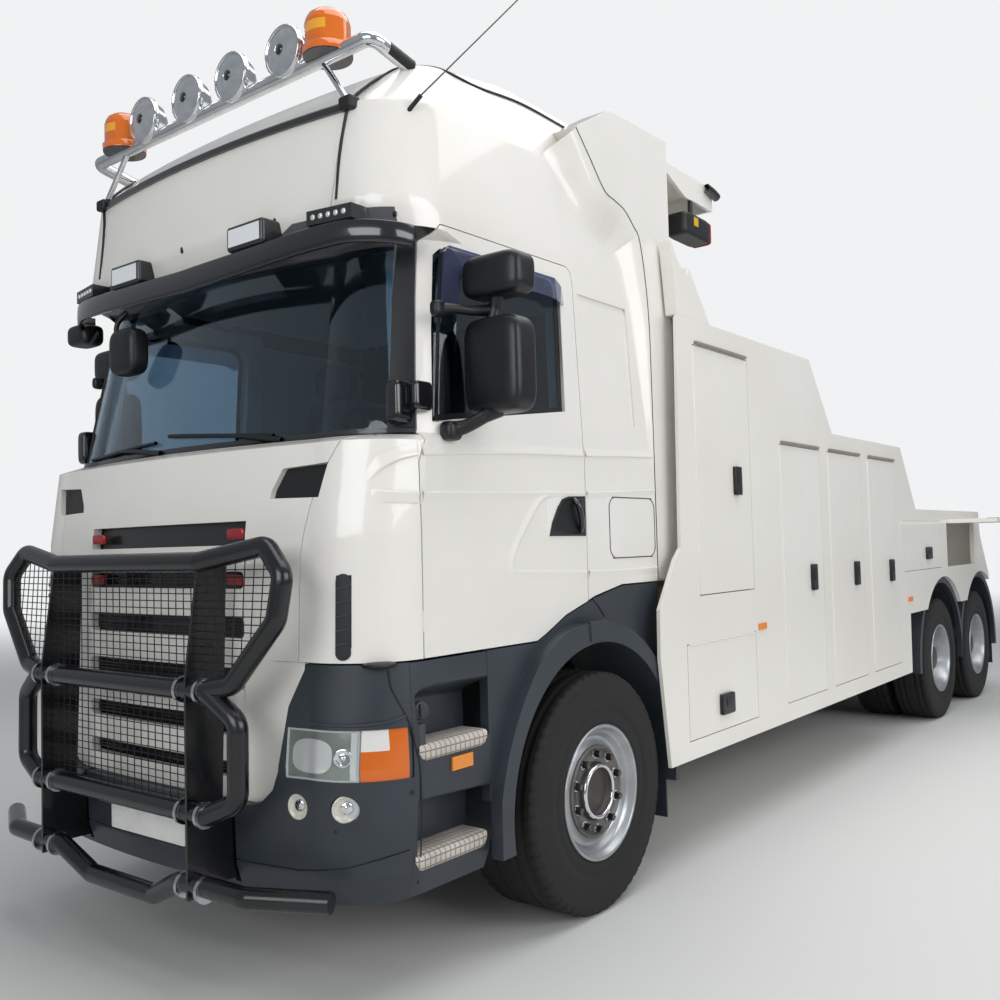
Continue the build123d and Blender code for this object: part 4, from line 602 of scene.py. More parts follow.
for outline, deep, rim in corner_wells:
    outline = np.array(outline)
    inside = np.full(x.shape, 9.0)
    for (ax, az), (bx, bz) in zip(outline, np.roll(outline, -1, 0)):
        along = np.hypot(bx - ax, bz - az)
        away = ((bx - ax) * (z - az) - (bz - az) * (x - ax)) / along
        flat = ax == bx or (abs(az - bz) < 1e-6 and az < outline[:, 1].mean())
        inside = np.minimum(inside, away / (0.006 if flat else rim))
    sunk = np.maximum(sunk, deep * eased(inside))
seam = [(1.248, 1.147, 1.207), (1.239, 1.157, 1.137), (1.185, 1.185, 1.017), (1.164, 1.194, 0.933),
        (1.143, 1.198, 0.819), (1.139, 1.187, 0.553), (1.139, 1.168, 0.43)]
ledge = [(1.402, 0.905, 1.02), (1.385, 0.988, 1.019), (1.335, 1.091, 1.02), (1.258, 1.152, 1.025),
         (1.197, 1.181, 1.04)]
for side, name in sides:
    sided(f"corner_unit_{name}", np.stack((x, skin_y - sunk, z), -1), side, moulded, turn=-1)
    hose(f"corner_seam_{name}", flip(seam, side), 0.0028, matt_black, n=6)
    hose(f"lamp_ledge_{name}", flip(ledge, side), 0.0055, moulded, n=8)
    # a flat black pad in the gap under the cab's corner, where it meets the bumper: painted shade
    pillow(f"corner_gap_painted_shade_{name}", (1.262, side * 1.118, 1.226), (0.125, 0.115, 0.026), matt_black, corner=0.8)
    for k, (a, b, c, r) in enumerate(((1.181, 1.187, 0.769, 0.01), (1.382, 1.005, 0.648, 0.005),
                                      (1.392, 0.96, 0.791, 0.009))):
        spin_piece(f"bumper_screw_{k}_{name}", (a, side * b, c), (1, side * (2.0 if k == 0 else 0.6), 0),
                   [(r, -0.002), (r, 0.002), (0.5 * r, 0.003), (0.0005, 0.001)], matt_black, n=16)
    spin_piece(f"corner_cap_{name}", (1.108, side * 1.168, 1.046), (0.35, side, 0.1),
               [(0.034, -0.004), (0.034, 0.01), (0.029, 0.014), (0.01, 0.014), (0.0005, 0.014)], moulded,
               n=32)
    pillow(f"corner_cap_bar_{name}", (1.114, side * 1.183, 1.048), (0.022, 0.014, 0.05), moulded, corner=0.5,
           n=12)

# Lamps: bright headlamp reflectors, fog lamps in cream bowls, amber indicators and markers, and red
# lamps at the tail. All are moulded units, let into the bumper or screwed on the body.
lamp_zones = [
    (((1.185, 1.36), (1.086, 1.3), (0.8, 1.02)), "#d8680f", 0.12, 0.0),
    (((1.252, 1.36), (1.086, 1.3), (0.925, 1.02)), "#e3e2de", 0.12, 0.0),
    (((0.8, 1.185), (1.05, 1.3), (0.8, 1.02)), "#2b3138", 0.42, 0.0),
    (((0.85, 0.98), (1.15, 1.3), (0.8, 0.86)), "#e98a12", 0.15, 0.0),
    (((-5.0, -1.6), (1.27, 1.3), (1.05, 1.2)), "#f0860a", 0.2, 0.0),
    (((-8.0, -7.7), anywhere, (0.7, 1.0)), "#8f0f17", 0.2, 0.0)]
lens = finish("lamp_lens", "#c3c9ca", "#aab2b3", 0.05, grain=140.0, depth=0.25, spread=0.03,
              zones=lamp_zones, Coat_Weight=0.5)
coat(lens, "road_lamps")
chrome = finish("chrome", "#e6e7e9", "#d6d8da", 0.09, cloud=8.0, depth=0.0, spread=0.04, Metallic=1.0)
silver = finish("reflector", "#e6e9e8", "#dde1df", 0.24, cloud=9.0, depth=0.0, spread=0.05, Metallic=0.55)
# the headlamp housing's metal: the bright reflector's copy painted darker grey-green, as painted shade
reflector_in_painted_shade = finish("reflector_painted_shade", "#868f89", "#939c96", 0.26, cloud=9.0, depth=0.0, spread=0.05,
                   Metallic=0.5)
a = around(48)
reflector = np.stack((0.91 + 0.088 * raised(np.cos(a), 0.7), 0.906 + 0.06 * raised(np.sin(a), 0.7)), 1)
fog_cream = finish("fog_bowl", "#dedacd", "#c9c5b8", 0.18, cloud=60.0, grain=400.0, depth=0.1,
                   Coat_Weight=0.6)
for side, name in sides:
    # the head lamp: a housing in a darker copy of the reflector's metal, a painted shade,
    # with a wide bright reflector, the lit copy, and a small round one
    patch(f"headlamp_housing_{name}", [(0.803, 0.828), (1.072, 0.828), (1.072, 0.992), (0.803, 0.992)],
          bumper_rows, 0.0042, reflector_in_painted_shade, side)
    patch(f"headlamp_reflector_{name}", reflector, bumper_rows, 0.0034, silver, side, step=0.012)
    patch(f"headlamp_frame_{name}", [(1.06, 0.826), (1.079, 0.826), (1.079, 0.994), (1.06, 0.994)],
          bumper_rows, 0.0026, lens, side, step=0.012)
    x = float(front_x(bumper_rows, 1.035, 0.905))
    spin_piece(f"headlamp_bowl_{name}", (x - 0.004, side * 1.035, 0.905), (1.0, side * 0.7, 0.0),
               [(0.034, 0.0), (0.032, 0.005), (0.024, 0.001), (0.012, 0.0), (0.009, 0.005), (0.0005, 0.007)],
               chrome)
    for k, (y, z) in enumerate(((0.84, 0.719), (1.037, 0.726))):
        x, facing = float(front_x(bumper_rows, y, z)), (1.0, side * (0.15 + 0.9 * k), 0.0)
        spin_piece(f"fog_ring_{k}_{name}", (x - 0.007, side * y, z), facing,
                   [(0.046, -0.004), (0.048, 0.003), (0.043, 0.005), (0.04, 0.0), (0.02, -0.001),
                    (0.018, 0.001), (0.0005, 0.001)], fog_cream)
        spin_piece(f"fog_bulb_{k}_{name}", (x - 0.005, side * (y + 0.01), z + 0.006), facing,
                   [(0.022, -0.002), (0.02, 0.003), (0.012, 0.001), (0.008, 0.004), (0.0005, 0.005)], chrome,
                   n=24)

# Steps: pale moulded treads with a raised lattice, bolted on the shelves of the bumper corners. Each
# is one strip with a rounded edge, thinned towards its ends.
cast = finish("step_tread", "#cfc6be", "#bdb3aa", 0.5, cloud=9.0, depth=0.0)
tree = cast.node_tree
shader = tree.nodes["Principled BSDF"].inputs
place = add(tree, "TexCoord").outputs["Object"]
waffle = add(tree, "TexVoronoi", {"Vector": place, "Scale": 36.0, "Randomness": 0.0}, distance="CHEBYCHEV")
lattice = add(tree, "MapRange", {0: waffle.outputs["Distance"], 1: 0.4, 2: 0.47})
tone = add(tree, "Mix", {0: lattice, 6: shader["Base Color"].links[0].from_socket, 7: linear("#8d847c")},
           data_type="RGBA")
tree.links.new(tone.outputs[2], shader["Base Color"])
bump = add(tree, "Bump", {"Height": lattice, "Strength": 1.0, "Distance": 0.004}, invert=True)
tree.links.new(bump.outputs[0], shader["Normal"])
coat(cast, "step_treads")
for side, name in sides:
    for place, low, high, reach in (("upper", 0.862, 0.928, 1.15), ("lower", 0.472, 0.538, 1.165)):
        x = np.linspace(0.764, reach, 22)
        turn_x = np.clip((x - 1.11) / 0.3, 0, 1)
        half = np.interp((low + high) / 2, bumper_rows[:, 0], bumper_rows[:, 5])
        out = half - 0.3 * (1 - np.sqrt(1 - turn_x ** 2))
        taper = np.clip(np.minimum(x - 0.755, reach + 0.006 - x) / 0.03, 0.05, 1) ** 0.5
        section = [(-0.13, 0.0), (-0.02, 0.0), (-0.004, -0.004), (0.006, -0.016),
                   (0.006, low - high + 0.014), (-0.004, low - high + 0.002), (-0.06, low - high)]
        grid = np.stack([np.stack((x, out + (d if d < 0 else d * taper), high + h * taper), 1)
                         for d, h in section])
        sided(f"tread_{place}_{name}", grid, side, cast)

# Bull bar: powder-coated steel tubes bent round two posts, clamped with bright collars and held by
# brackets under the bumper. A mesh of woven steel wire fills it.
collars = [(((1.5, 1.7), (low, high), (z - 0.05, z + 0.05)), "#b9bcc0", 0.25, 1.0)
           for z in (1.14, 0.696, 0.431) for low, high in ((0.446, 0.464), (0.566, 0.584))]
powder = finish("powder_coat", "#090a0d", "#101115", 0.27, cloud=5.0, grain=600.0, depth=0.12,
                zones=collars, Coat_Weight=0.3)
coat(powder, "bull_bar")
mesh_steel = finish("mesh_steel", "#26272a", "#35363a", 0.42, cloud=12.0, depth=0.0, Metallic=0.6)
strands = [((1.603, -0.508, z), (1.603, 0.508, z)) for z in np.arange(0.735, 1.6, 0.028)]
strands += [((1.599, y, 0.7), (1.599, y, 1.604)) for y in np.arange(-0.48, 0.5, 0.048)]
for side, _ in sides:
    for z in np.arange(1.215, 1.6, 0.028):
        share = min((z - 1.17) / 0.23, 1.0)
        end = (1.592 - 0.025 * share, side * (0.715 + 0.215 * share), z)
        strands.append(((1.602, side * 0.522, z), end))
    for y in np.arange(0.56, 0.9, 0.048):
        out = y - 0.515
        strands.append(((1.604 - 0.06 * out, side * y, 1.145 + max(y - 0.72, 0) * 1.07),
                        (1.587 - 0.12 * out, side * y, 1.606 + 0.15 * out)))
mesh_piece = wires("woven_mesh", *zip(*strands), 0.0022, mesh_steel, n=5)
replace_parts(mesh_piece, "bull_bar_mesh")

# Number plate: a blank white plate of sheet metal in a black plastic holder, which is screwed to
# the middle of the bumper.
plate_white = finish("plate_white", "#e9e9e6", "#dededa", 0.3, cloud=12.0, grain=500.0, depth=0.05)
pillow("plate_holder", (1.479, 0.0, 0.556), (0.012, 0.54, 0.13), matt_black, corner=0.06, n=16)
pillow("number_plate", (1.4825, 0.0, 0.556), (0.01, 0.52, 0.112), plate_white, corner=0.05, n=16)

# Visor, light bar and lamps: a glossy acrylic band bent round the windscreen's top, and over the roof's
# edge a bent chrome tube on struts that carries round lamps and amber beacons.
coat(gloss_black, "sun_visor")
visor_black = finish("visor_acrylic", "#0d0f16", "#12141b", 0.2, cloud=2.0, grain=300.0, depth=0.01,
                     spread=0.03, Coat_Weight=1.0)
a = np.radians(np.linspace(-86.5, 86.5, 97))
x, y = 1.0 + 0.308 * np.cos(a) ** (2 / 3), 1.135 * raised(np.sin(a), 2 / 3)
out = beside(np.stack((x, y), 1))
low = np.interp(np.abs(y), (0, 0.43, 0.95, 1.125), (2.757, 2.768, 2.8, 2.784))
high = np.interp(np.abs(y), (0, 0.43, 0.95, 1.125), (2.853, 2.86, 2.889, 2.87))
section = [(-0.014, 1.0), (-0.002, 1.0), (0.0, 0.96), (0.0015, 0.5), (0.0, 0.04), (-0.003, 0.0),
           (-0.014, 0.0)]
grid = np.stack([np.stack((x + out[:, 0] * d, y + out[:, 1] * d, low + (high - low) * h), 1)
                 for d, h in section])
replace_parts(piece("visor_band", grid, net(len(section), len(a), around_rows=True), visor_black), "sun_visor")
bar_chrome = finish("bar_chrome", "#e6e7e9", "#d0d3d6", 0.1, cloud=8.0, depth=0.0, spread=0.05, Metallic=1.0,
                    zones=[(((1.07, 1.17), (0.84, 0.92), (3.35, 3.414)), "#141518", 0.5, 0.0),
                           (((0.2, 1.03), (1.0, 1.2), (3.2, 4.2)), "#141518", 0.5, 0.0)])
coat(bar_chrome, "light_bar")
beacon_lens = (((1.0, 1.22), (0.62, 0.85), (3.656, 3.9)), "#e8690c", 0.16, 0.0)
aux = finish("lamp_housings", "#17181b", "#222327", 0.35, grain=400.0, depth=0.08, Coat_Weight=0.4, zones=[
    (((1.02, 1.16), (0.03, 0.63), (3.59, 3.83)), "#d4d6d9", 0.12, 1.0), beacon_lens,
    (((1.2985, 1.31), (0.335, 0.534), (2.886, 2.958)), "#e8ecee", 0.12, 0.0)])
coat(aux, "auxiliary_lamps")
lamp_mirror = finish("lamp_mirror", "#dfe3e4", "#c4cacc", 0.1, cloud=18.0, depth=0.0, spread=0.05,
                     Metallic=0.9, Coat_Weight=1.0)
# a brighter yellow band round each beacon's middle: a painted highlight
painted_glow_highlight = (((1.0, 1.3), (0.69, 0.8), (3.705, 3.745)), "#f9ac2a", 0.12, 0.0)
beacon_amber = finish("beacon_amber", "#e4720a", "#d9620a", 0.14, cloud=6.0, depth=0.0, spread=0.04,
                      zones=[painted_glow_highlight], Coat_Weight=0.9)
for side, name in sides:
    for k, y in enumerate((0.162, 0.51)):
        spot = (1.149, side * y, 3.714)
        spin_piece(f"lamp_rim_{k}_{name}", spot, (1, 0, 0),
                   [(0.106, -0.004), (0.106, 0.006), (0.1, 0.007), (0.097, 0.002)], chrome)
        facets = turned(spot, (1, 0, 0), [(0.098, 0.002), (0.064, 0.013), (0.026, 0.019), (0.022, 0.017)],
                        16)
        piece(f"lamp_face_{k}_{name}", facets, net(16, 4, around_rows=True), lamp_mirror, smooth=False)
        spin_piece(f"lamp_badge_{k}_{name}", spot, (1, 0, 0),
                   [(0.023, 0.016), (0.02, 0.021), (0.0005, 0.022)], gloss_black, n=20)
    ribs = [(0.0915 + 0.0022 * (k % 2), 0.042 + 0.006 * k) for k in range(17)]
    spin_piece(f"beacon_lens_{name}", (1.105, side * 0.738, 3.622), (0, 0, 1),
               [(0.101, 0.004), (0.103, 0.034), (0.093, 0.04)] + ribs
               + [(0.088, 0.152), (0.078, 0.17), (0.06, 0.183), (0.03, 0.19), (0.0005, 0.191)], beacon_amber)
    for k in range(5):
        pillow(f"led_{k}_{name}", (1.2567 - 0.00634 * k, side * (0.8 + 0.036 * k), 2.92),
               (0.012, 0.022, 0.022), silver, corner=0.8, n=10)
    # dark marks on the header over the visor
    for k, (place, high, wide) in enumerate((((1.2185, 0.529, 2.973), 0.03, 0.016),
                                             ((1.0705, 1.056, 2.923), 0.022, 0.022))):
        pillow(f"header_mark_{k}_{name}", flip(place, side), (0.01, wide, high), matt_black, corner=0.7,
               n=10)
pillow("header_mark_middle", (1.2465, -0.065, 2.972), (0.01, 0.016, 0.03), matt_black, corner=0.7, n=10)

# Mirrors: black plastic heads on arms, with silvered glass in their rear faces. Two more hang from
# the right end of the visor: one looks down over the nose, the other along the kerb.
mirror_black = finish("mirror_plastic", "#0d0e12", "#14161a", 0.36, cloud=5.0, grain=900.0, depth=0.25)
coat(mirror_black, "mirrors_left", "mirrors_right")
mirror_glass = finish("mirror_glass", "#dfe4e8", "#d8dde2", 0.02, depth=0.0, spread=0.01, Metallic=1.0)
for side, name in sides:
    door = f"door_{name}"
    head = pillow(f"mirror_main_{name}", (0.793, side * 1.335, 2.334), (0.15, 0.272, 0.372), mirror_black,
                  door, 0.36, 32)
    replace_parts(head, f"mirrors_{name}")
    pillow(f"mirror_wide_{name}", (0.793, side * 1.337, 2.682), (0.15, 0.284, 0.166), mirror_black, door,
           0.42, 32)
    arms = [("post", [(0.793, 1.3, 2.5), (0.79, 1.315, 2.56), (0.793, 1.33, 2.62)], (0.03, 0.024, 0.03)),
            ("upper", [(0.985, 1.182, 2.548), (0.93, 1.222, 2.552), (0.86, 1.258, 2.55),
                       (0.795, 1.3, 2.556)], (0.026, 0.019, 0.019, 0.024)),
            ("lower", [(0.935, 1.2, 2.086), (0.905, 1.25, 2.098), (0.85, 1.295, 2.135), (0.8, 1.32, 2.17)],
             (0.034, 0.027, 0.026, 0.04))]
    for arm, path, wide in arms:
        hose(f"mirror_{arm}_{name}", flip(path, side), wide, mirror_black, door, n=14)
    pillow(f"mirror_foot_{name}", (0.94, side * 1.205, 2.082), (0.082, 0.07, 0.076), mirror_black, door, 0.6)
    pillow(f"mirror_hinge_{name}", (0.988, side * 1.194, 2.547), (0.062, 0.045, 0.062), mirror_black, door,
           0.6)
    for k, (z, wide, high) in enumerate(((2.334, 0.215, 0.315), (2.682, 0.215, 0.105))):
        pillow(f"mirror_glass_{k}_{name}", (0.7185, side * 1.335, z), (0.005, wide, high), mirror_glass,
               door, 0.25, 16)
hose("front_mirror_rod", [(1.235, -0.52, 2.775), (1.262, -0.56, 2.715), (1.262, -0.56, 2.655),
                          (1.262, -0.52, 2.63)], 0.011, matt_black)
pillow("front_mirror", (1.262, -0.465, 2.572), (0.11, 0.205, 0.215), matt_black, corner=0.5)
hose("kerb_mirror_rod", [(1.105, -0.985, 2.775), (1.105, -1.05, 2.728), (1.1, -1.085, 2.745)], 0.011,
     matt_black)
pillow("kerb_mirror", (1.085, -1.15, 2.775), (0.13, 0.185, 0.11), matt_black, corner=0.5)

# Pillar feet, cameras and work lamps: a glossy black cover at the foot of each windscreen pillar,
# a small black camera at each side of the hood's tip, and a work lamp hung on a stud under it.
label = finish("lamp_label", "#d9b20c", "#c9a30a", 0.4, grain=300.0, depth=0.05)
for side, name in sides:
    pillow(f"pillar_foot_{name}", (1.1, side * 1.092, 2.188), (0.1, 0.066, 0.165), gloss_black, corner=0.35)
    pillow(f"pillar_cap_{name}", (1.046, side * 1.146, 2.212), (0.098, 0.052, 0.112), gloss_black,
           corner=0.35)
    hose(f"rear_camera_{name}", flip([(-1.32, 1.204, 3.632), (-1.375, 1.212, 3.618), (-1.428, 1.216, 3.6)],
                                     side), 0.025, gloss_black)
    # the work lamp under the hood: a rounded black box with a red rim and a yellow label
    pillow(f"hood_lamp_{name}", (-1.222, side * 1.135, 3.385), (0.315, 0.13, 0.135), matt_black, corner=0.3)
    pillow(f"hood_lamp_rim_{name}", (-1.378, side * 1.135, 3.385), (0.016, 0.122, 0.128), red_lens,
           corner=0.3)
    pillow(f"hood_lamp_label_{name}", (-1.19, side * 1.199, 3.405), (0.05, 0.006, 0.048), label, corner=0.1,
           n=10)
    wires(f"hood_lamp_arm_{name}", [(-1.25, side * 1.135, 3.44)], [(-1.25, side * 1.135, 3.535)], 0.014,
          matt_black)

# Windscreen wipers: black painted steel arms on the cowl, each with a long rubber blade lying on
# the glass.
for k, (blade, pivot) in enumerate(((((-0.1, 2.15), (0.56, 2.098)), (0.62, 2.072)),
                                    (((-0.86, 2.104), (-0.2, 2.128)), (-0.12, 2.072)))):
    y, z = (np.linspace(a, b, 9) for a, b in zip(*blade))
    x = front_x(cab_rows, y, z) - 0.004
    hose(f"wiper_blade_{k}", np.stack((x, y, z), 1), 0.009, matt_black, n=8)
    mid = (float(x[4]) + 0.012, float(y[4]), float(z[4]))
    base = (float(front_x(cab_rows, pivot[0], pivot[1])) + 0.002, pivot[0], pivot[1])
    hose(f"wiper_arm_{k}", [base, tuple((a + b) / 2 + c for a, b, c in zip(base, mid, (0.006, 0, 0.006))),
                            mid], [0.014, 0.01, 0.006], matt_black, n=8)

# Door windows: a black rubber seal inside each opening, and over its top edge a wind deflector, a
# bent strip of smoked acrylic.
window = np.array([(0.994, 2.12), (0.953, 2.481), (0.907, 2.79), (0.88, 2.818), (0.18, 2.832),
                   (0.135, 2.815), (0.105, 2.76), (0.125, 2.232)])


def ring_points(outline, inset):
    """The closed outline moved in by inset, each corner along the mean of its two sides."""
    before, after = np.roll(outline, 1, 0), np.roll(outline, -1, 0)
    n1, n2 = (unit(np.stack((e[:, 1], -e[:, 0]), 1)) for e in (outline - before, after - outline))
    middle = n1 + n2
    return outline + inset * middle / (1 + (n1 * n2).sum(1))[:, None]


def door_rings(rings):
    """A net on the door's outer face, from rings: an outline in x and z, and a distance out of the face."""
    grid = np.stack([np.insert(outline, 1, away, axis=1) for outline, away in rings])
    grid[..., 1] += np.interp(grid[..., 2], cab_rows[:, 0], cab_rows[:, 5])
    return grid


smoked = finish("smoked_acrylic", "#5c6282", "#555b7a", 0.08, depth=0.0, spread=0.02,
                Transmission_Weight=0.6, IOR=1.12)
strip = np.array([(0.945, 2.535), (0.905, 2.792), (0.876, 2.822), (0.5, 2.829), (0.155, 2.834),
                  (0.108, 2.805), (0.097, 2.72)])
low = np.array([(0.868, 2.545), (0.846, 2.7), (0.8, 2.73), (0.5, 2.735), (0.2, 2.735),
                (0.165, 2.728), (0.14, 2.716)])
turn = 1 if np.cross(window[1] - window[0], window[2] - window[1]) < 0 else -1
inner = ring_points(window, turn * 0.024)
seal = door_rings([(window, -0.003), (window, -0.016), (inner, -0.019), (inner, -0.024)])
deflector = door_rings([(strip, 0.001), (strip, 0.012), (low, 0.026), (low, 0.022)])
for side, name in sides:
    sided(f"window_seal_{name}", seal, side, matt_black, f"door_{name}", closed=True, smooth=False)
    sided(f"wind_deflector_{name}", deflector, side, smoked, f"door_{name}", smooth=False)

# Roof seal: a black rubber bead pressed into the groove between the roof and the side panel, from
# the header up over the front edge and back along the roof.
roof_seal = [(1.178, 0.849, 3.0), (1.161, 0.849, 3.15), (1.146, 0.859, 3.273), (1.125, 0.881, 3.392),
             (1.035, 0.893, 3.49), (0.958, 0.905, 3.553), (0.905, 0.955, 3.588), (0.8, 1.055, 3.592),
             (0.55, 1.062, 3.6), (0.2, 1.032, 3.656), (-0.15, 1.031, 3.657), (-0.42, 1.031, 3.657)]
for side, name in sides:
    hose(f"roof_seal_{name}", flip(roof_seal, side), 0.0065, matt_black, n=8)

# Door handles: a dished black plate over the pocket in the door's skin, with an upright glossy grip.
# A white filler closes the rest of the pocket. All of it turns with the door.
plate = np.array([(0.294, 1.676), (0.15, 1.675), (0.014, 1.674), (0.012, 1.76), (0.012, 1.853),
                  (0.139, 1.85), (0.19, 1.838), (0.228, 1.8), (0.272, 1.735)])
middle, pocket_middle, reach = plate.mean(0), np.array((0.1545, 1.7585)), np.array((0.1465, 0.089))
filler_rings = [(reach + 0.004, -0.0008), (reach, 0.0016), (reach * 0.5, 0.0018), (reach * 0.0, 0.0018)]
plate_rings = [(middle + k * (plate - middle), d) for k, d in
               ((1.0, -0.002), (1.0, 0.007), (0.9, 0.009), (0.8, 0.004), (0.4, 0.003), (0.001, 0.003))]
grip = [(0.05, 1.192, 1.694), (0.064, 1.212, 1.722), (0.082, 1.218, 1.775), (0.094, 1.212, 1.815),
        (0.098, 1.192, 1.838)]
for side, name in sides:
    lid(f"handle_filler_{name}", pocket_middle, filler_rings, side, f"door_{name}")
    sided(f"handle_plate_{name}", door_rings(plate_rings), side, mirror_black, f"door_{name}", closed=True,
          smooth=False, turn=-1)
    hose(f"handle_grip_{name}", flip(grip, side), 0.012, gloss_black, f"door_{name}")

# Recovery body: folded and welded steel lockers, the long leaves on full-length hinges. Each leaf
# has a black plastic grip with its latch. A gutter strip runs over the upright openings, painted the
# grey-brown of the shadow under its lip as painted shadow.
coat(locker_white, "lockers_left", "lockers_right", "headboard")
coat(leaf_white, *locker_leaves)
handle_black = finish("handle_plastic", "#0e0f11", "#17181b", 0.3, cloud=20.0, grain=500.0, depth=0.15)
# the gutters' grey-brown is painted shadow: the shade their lip casts, painted onto the strip
gutter_shadow_paint = finish("gutter_painted_shadow", "#8f877b", "#857d72", 0.6, cloud=8.0, grain=300.0, depth=0.1)
grips = [("tall", -1.423, 1.968, 0.074, 0.16), ("flap", -1.197, 0.76, 0.15, 0.11),
         ("second", -2.532, 1.383, 0.074, 0.168), ("third", -3.361, 1.377, 0.074, 0.168),
         ("fourth", -4.169, 1.369, 0.074, 0.168), ("rear_flap", -5.215, 1.478, 0.14, 0.104)]
gutters = [("tall", -0.96, -1.6, 2.688), ("second", -2.075, -2.71, 2.231), ("third", -2.895, -3.525, 2.231),
           ("fourth", -3.72, -4.345, 2.231)]
for side, name in sides:
    for leaf, x, z, wide, high in grips:
        pillow(f"grip_{leaf}_{name}", (x, side * 1.2855, z), (wide, 0.024, high), handle_black,
               f"locker_{leaf}_{name}", corner=0.14, n=14)
        pillow(f"latch_{leaf}_{name}", (x, side * 1.2965, z + 0.12 * high),
               (0.45 * wide, 0.008, 0.45 * high), matt_black, f"locker_{leaf}_{name}", corner=0.2, n=10)
    for leaf, front, back, z in gutters:
        pillow(f"gutter_{leaf}_{name}", ((front + back) / 2, side * 1.279, z), (front - back, 0.018, 0.016),
               gutter_shadow_paint, corner=0.08, n=10)
plate_floor = finish("tread_plate", "#a9a9a6", "#8f8f8b", 0.4, cloud=3.0, depth=0.0, Metallic=0.9)
tree = plate_floor.node_tree
place = add(tree, "TexCoord").outputs["Object"]
studs = add(tree, "TexVoronoi", {"Vector": place, "Scale": 24.0, "Randomness": 0.0})
bump = add(tree, "Bump", {"Height": studs.outputs["Distance"], "Strength": 0.7, "Distance": 0.004})
tree.links.new(bump.outputs[0], tree.nodes["Principled BSDF"].inputs["Normal"])
coat(plate_floor, "deck")

# Recovery gear: white boom with a bare sliding section, plated rods, and a black underlift. Two
# winches stand on the deck, each drum wound with one layer of wire rope.
bare = finish("bare_steel", "#a9abad", "#8c8a86", 0.34, cloud=7.0, grain=120.0, depth=0.1, Metallic=1.0)
coat(locker_white, "boom", "lift_barrels", "underlift_arm")
coat(bare, "boom_extension", "underlift_slide")
coat(chrome, "lift_rods")
coat(powder, "underlift_crossbar")
winch_grey = finish("winch_steel", "#4b4f54", "#3d4045", 0.5, cloud=6.0, grain=150.0, depth=0.2,
                    Metallic=0.4)
coat(winch_grey, "winches")
cable = finish("wire_rope", "#8d8f90", "#6f6a62", 0.45, cloud=40.0, grain=900.0, depth=0.5, Metallic=0.9)
turns, pitch_of, rope_r, drum_r, drum_z = 24, 0.0131, 0.0064, 0.1265, 1.33
for name, x in (("front", -1.3), ("rear", -1.8)):
    t = np.linspace(0, 2 * math.pi * turns, turns * 28)
    out = np.stack((np.cos(t), 0 * t, np.sin(t)), 1)
    line = (x, -0.157, drum_z) + drum_r * out
    line[:, 1] += pitch_of * t / (2 * math.pi)
    tube = line[:, None] + rope_r * circle(6, out, np.array((0.0, 1.0, 0.0)))
    piece(f"winch_rope_{name}", tube, net(len(t), 6, around_columns=True), cable)

# Wheels: tubeless tyres on steel disc wheels. Each tyre is turned from its section, with ribs and
# shoulder cuts; the rim, the hub and its nuts sit inside it and turn with it.
tyre_rubber = finish("tyre_rubber", "#141415", "#1f1e1d", 0.78, cloud=7.0, grain=240.0, depth=0.25)
rim_silver = finish("rim_silver", "#b6b9bc", "#a3a6a9", 0.36, cloud=9.0, grain=320.0, depth=0.12,
                    Metallic=0.85)
hub_dark = finish("hub_iron", "#4a4644", "#57524e", 0.5, cloud=14.0, grain=200.0, depth=0.3, Metallic=0.5)
disc_grey = finish("disc_steel", "#77736f", "#666260", 0.42, cloud=12.0, grain=220.0, depth=0.2,
                   Metallic=0.7)
nut_black = finish("nut_cap", "#101113", "#1a1b1d", 0.22, cloud=30.0, depth=0.0, Coat_Weight=0.5)
bolts, bolt_circle = 10, 0.1675
wheel_z = 0.53          # height of the wheels' centres
front_face, rear_face, inner_face = 1.243, 1.222, 0.876


def tyre_piece(name, x, side, face, width, body):
    """A tyre: half section of sidewall and tread, four ribs, and shoulder cuts 6 degrees apart."""
    half = width / 2
    section = [(0.286, 0.03), (0.292, 0.012), (0.315, 0.006), (0.345, 0.002), (0.352, 0.0045),
               (0.366, 0.0045), (0.372, 0.0), (0.41, -0.004), (0.44, -0.004), (0.446, -0.001), (0.47, 0.0),
               (0.492, 0.006), (0.498, 0.004), (0.512, 0.01), (0.522, 0.016), (0.529, 0.026)]
    tread_y = np.linspace(0.026, half, 19)[1:]
    grooves = np.isin(np.arange(18), (3, 4, 10, 11)) * 0.013
    wall_r, wall_in = np.array(section).T
    radius = np.concatenate((wall_r, 0.5292 + 0.0008 * np.sin(tread_y / half * 1.57) - grooves))
    inset = np.clip(np.concatenate((wall_in, tread_y)), 0.0005, None)
    radius = np.concatenate((radius, radius[-2::-1]))
    inset = np.concatenate((inset, width - inset[-2::-1]))
    n = 240
    a = around(n)[:, None]
    shoulder = (np.abs(inset - half) > half - 0.05) * (radius > 0.505)
    r = radius - (np.arange(n) % 4 == 0)[:, None] * shoulder * 0.009
    grid = np.stack((x + r * np.cos(a), face - inset + 0 * a, wheel_z + r * np.sin(a)), -1)
    return piece(name, flip(grid, side), net(n, len(inset), around_rows=True)[:, ::-side], tyre_rubber, body)


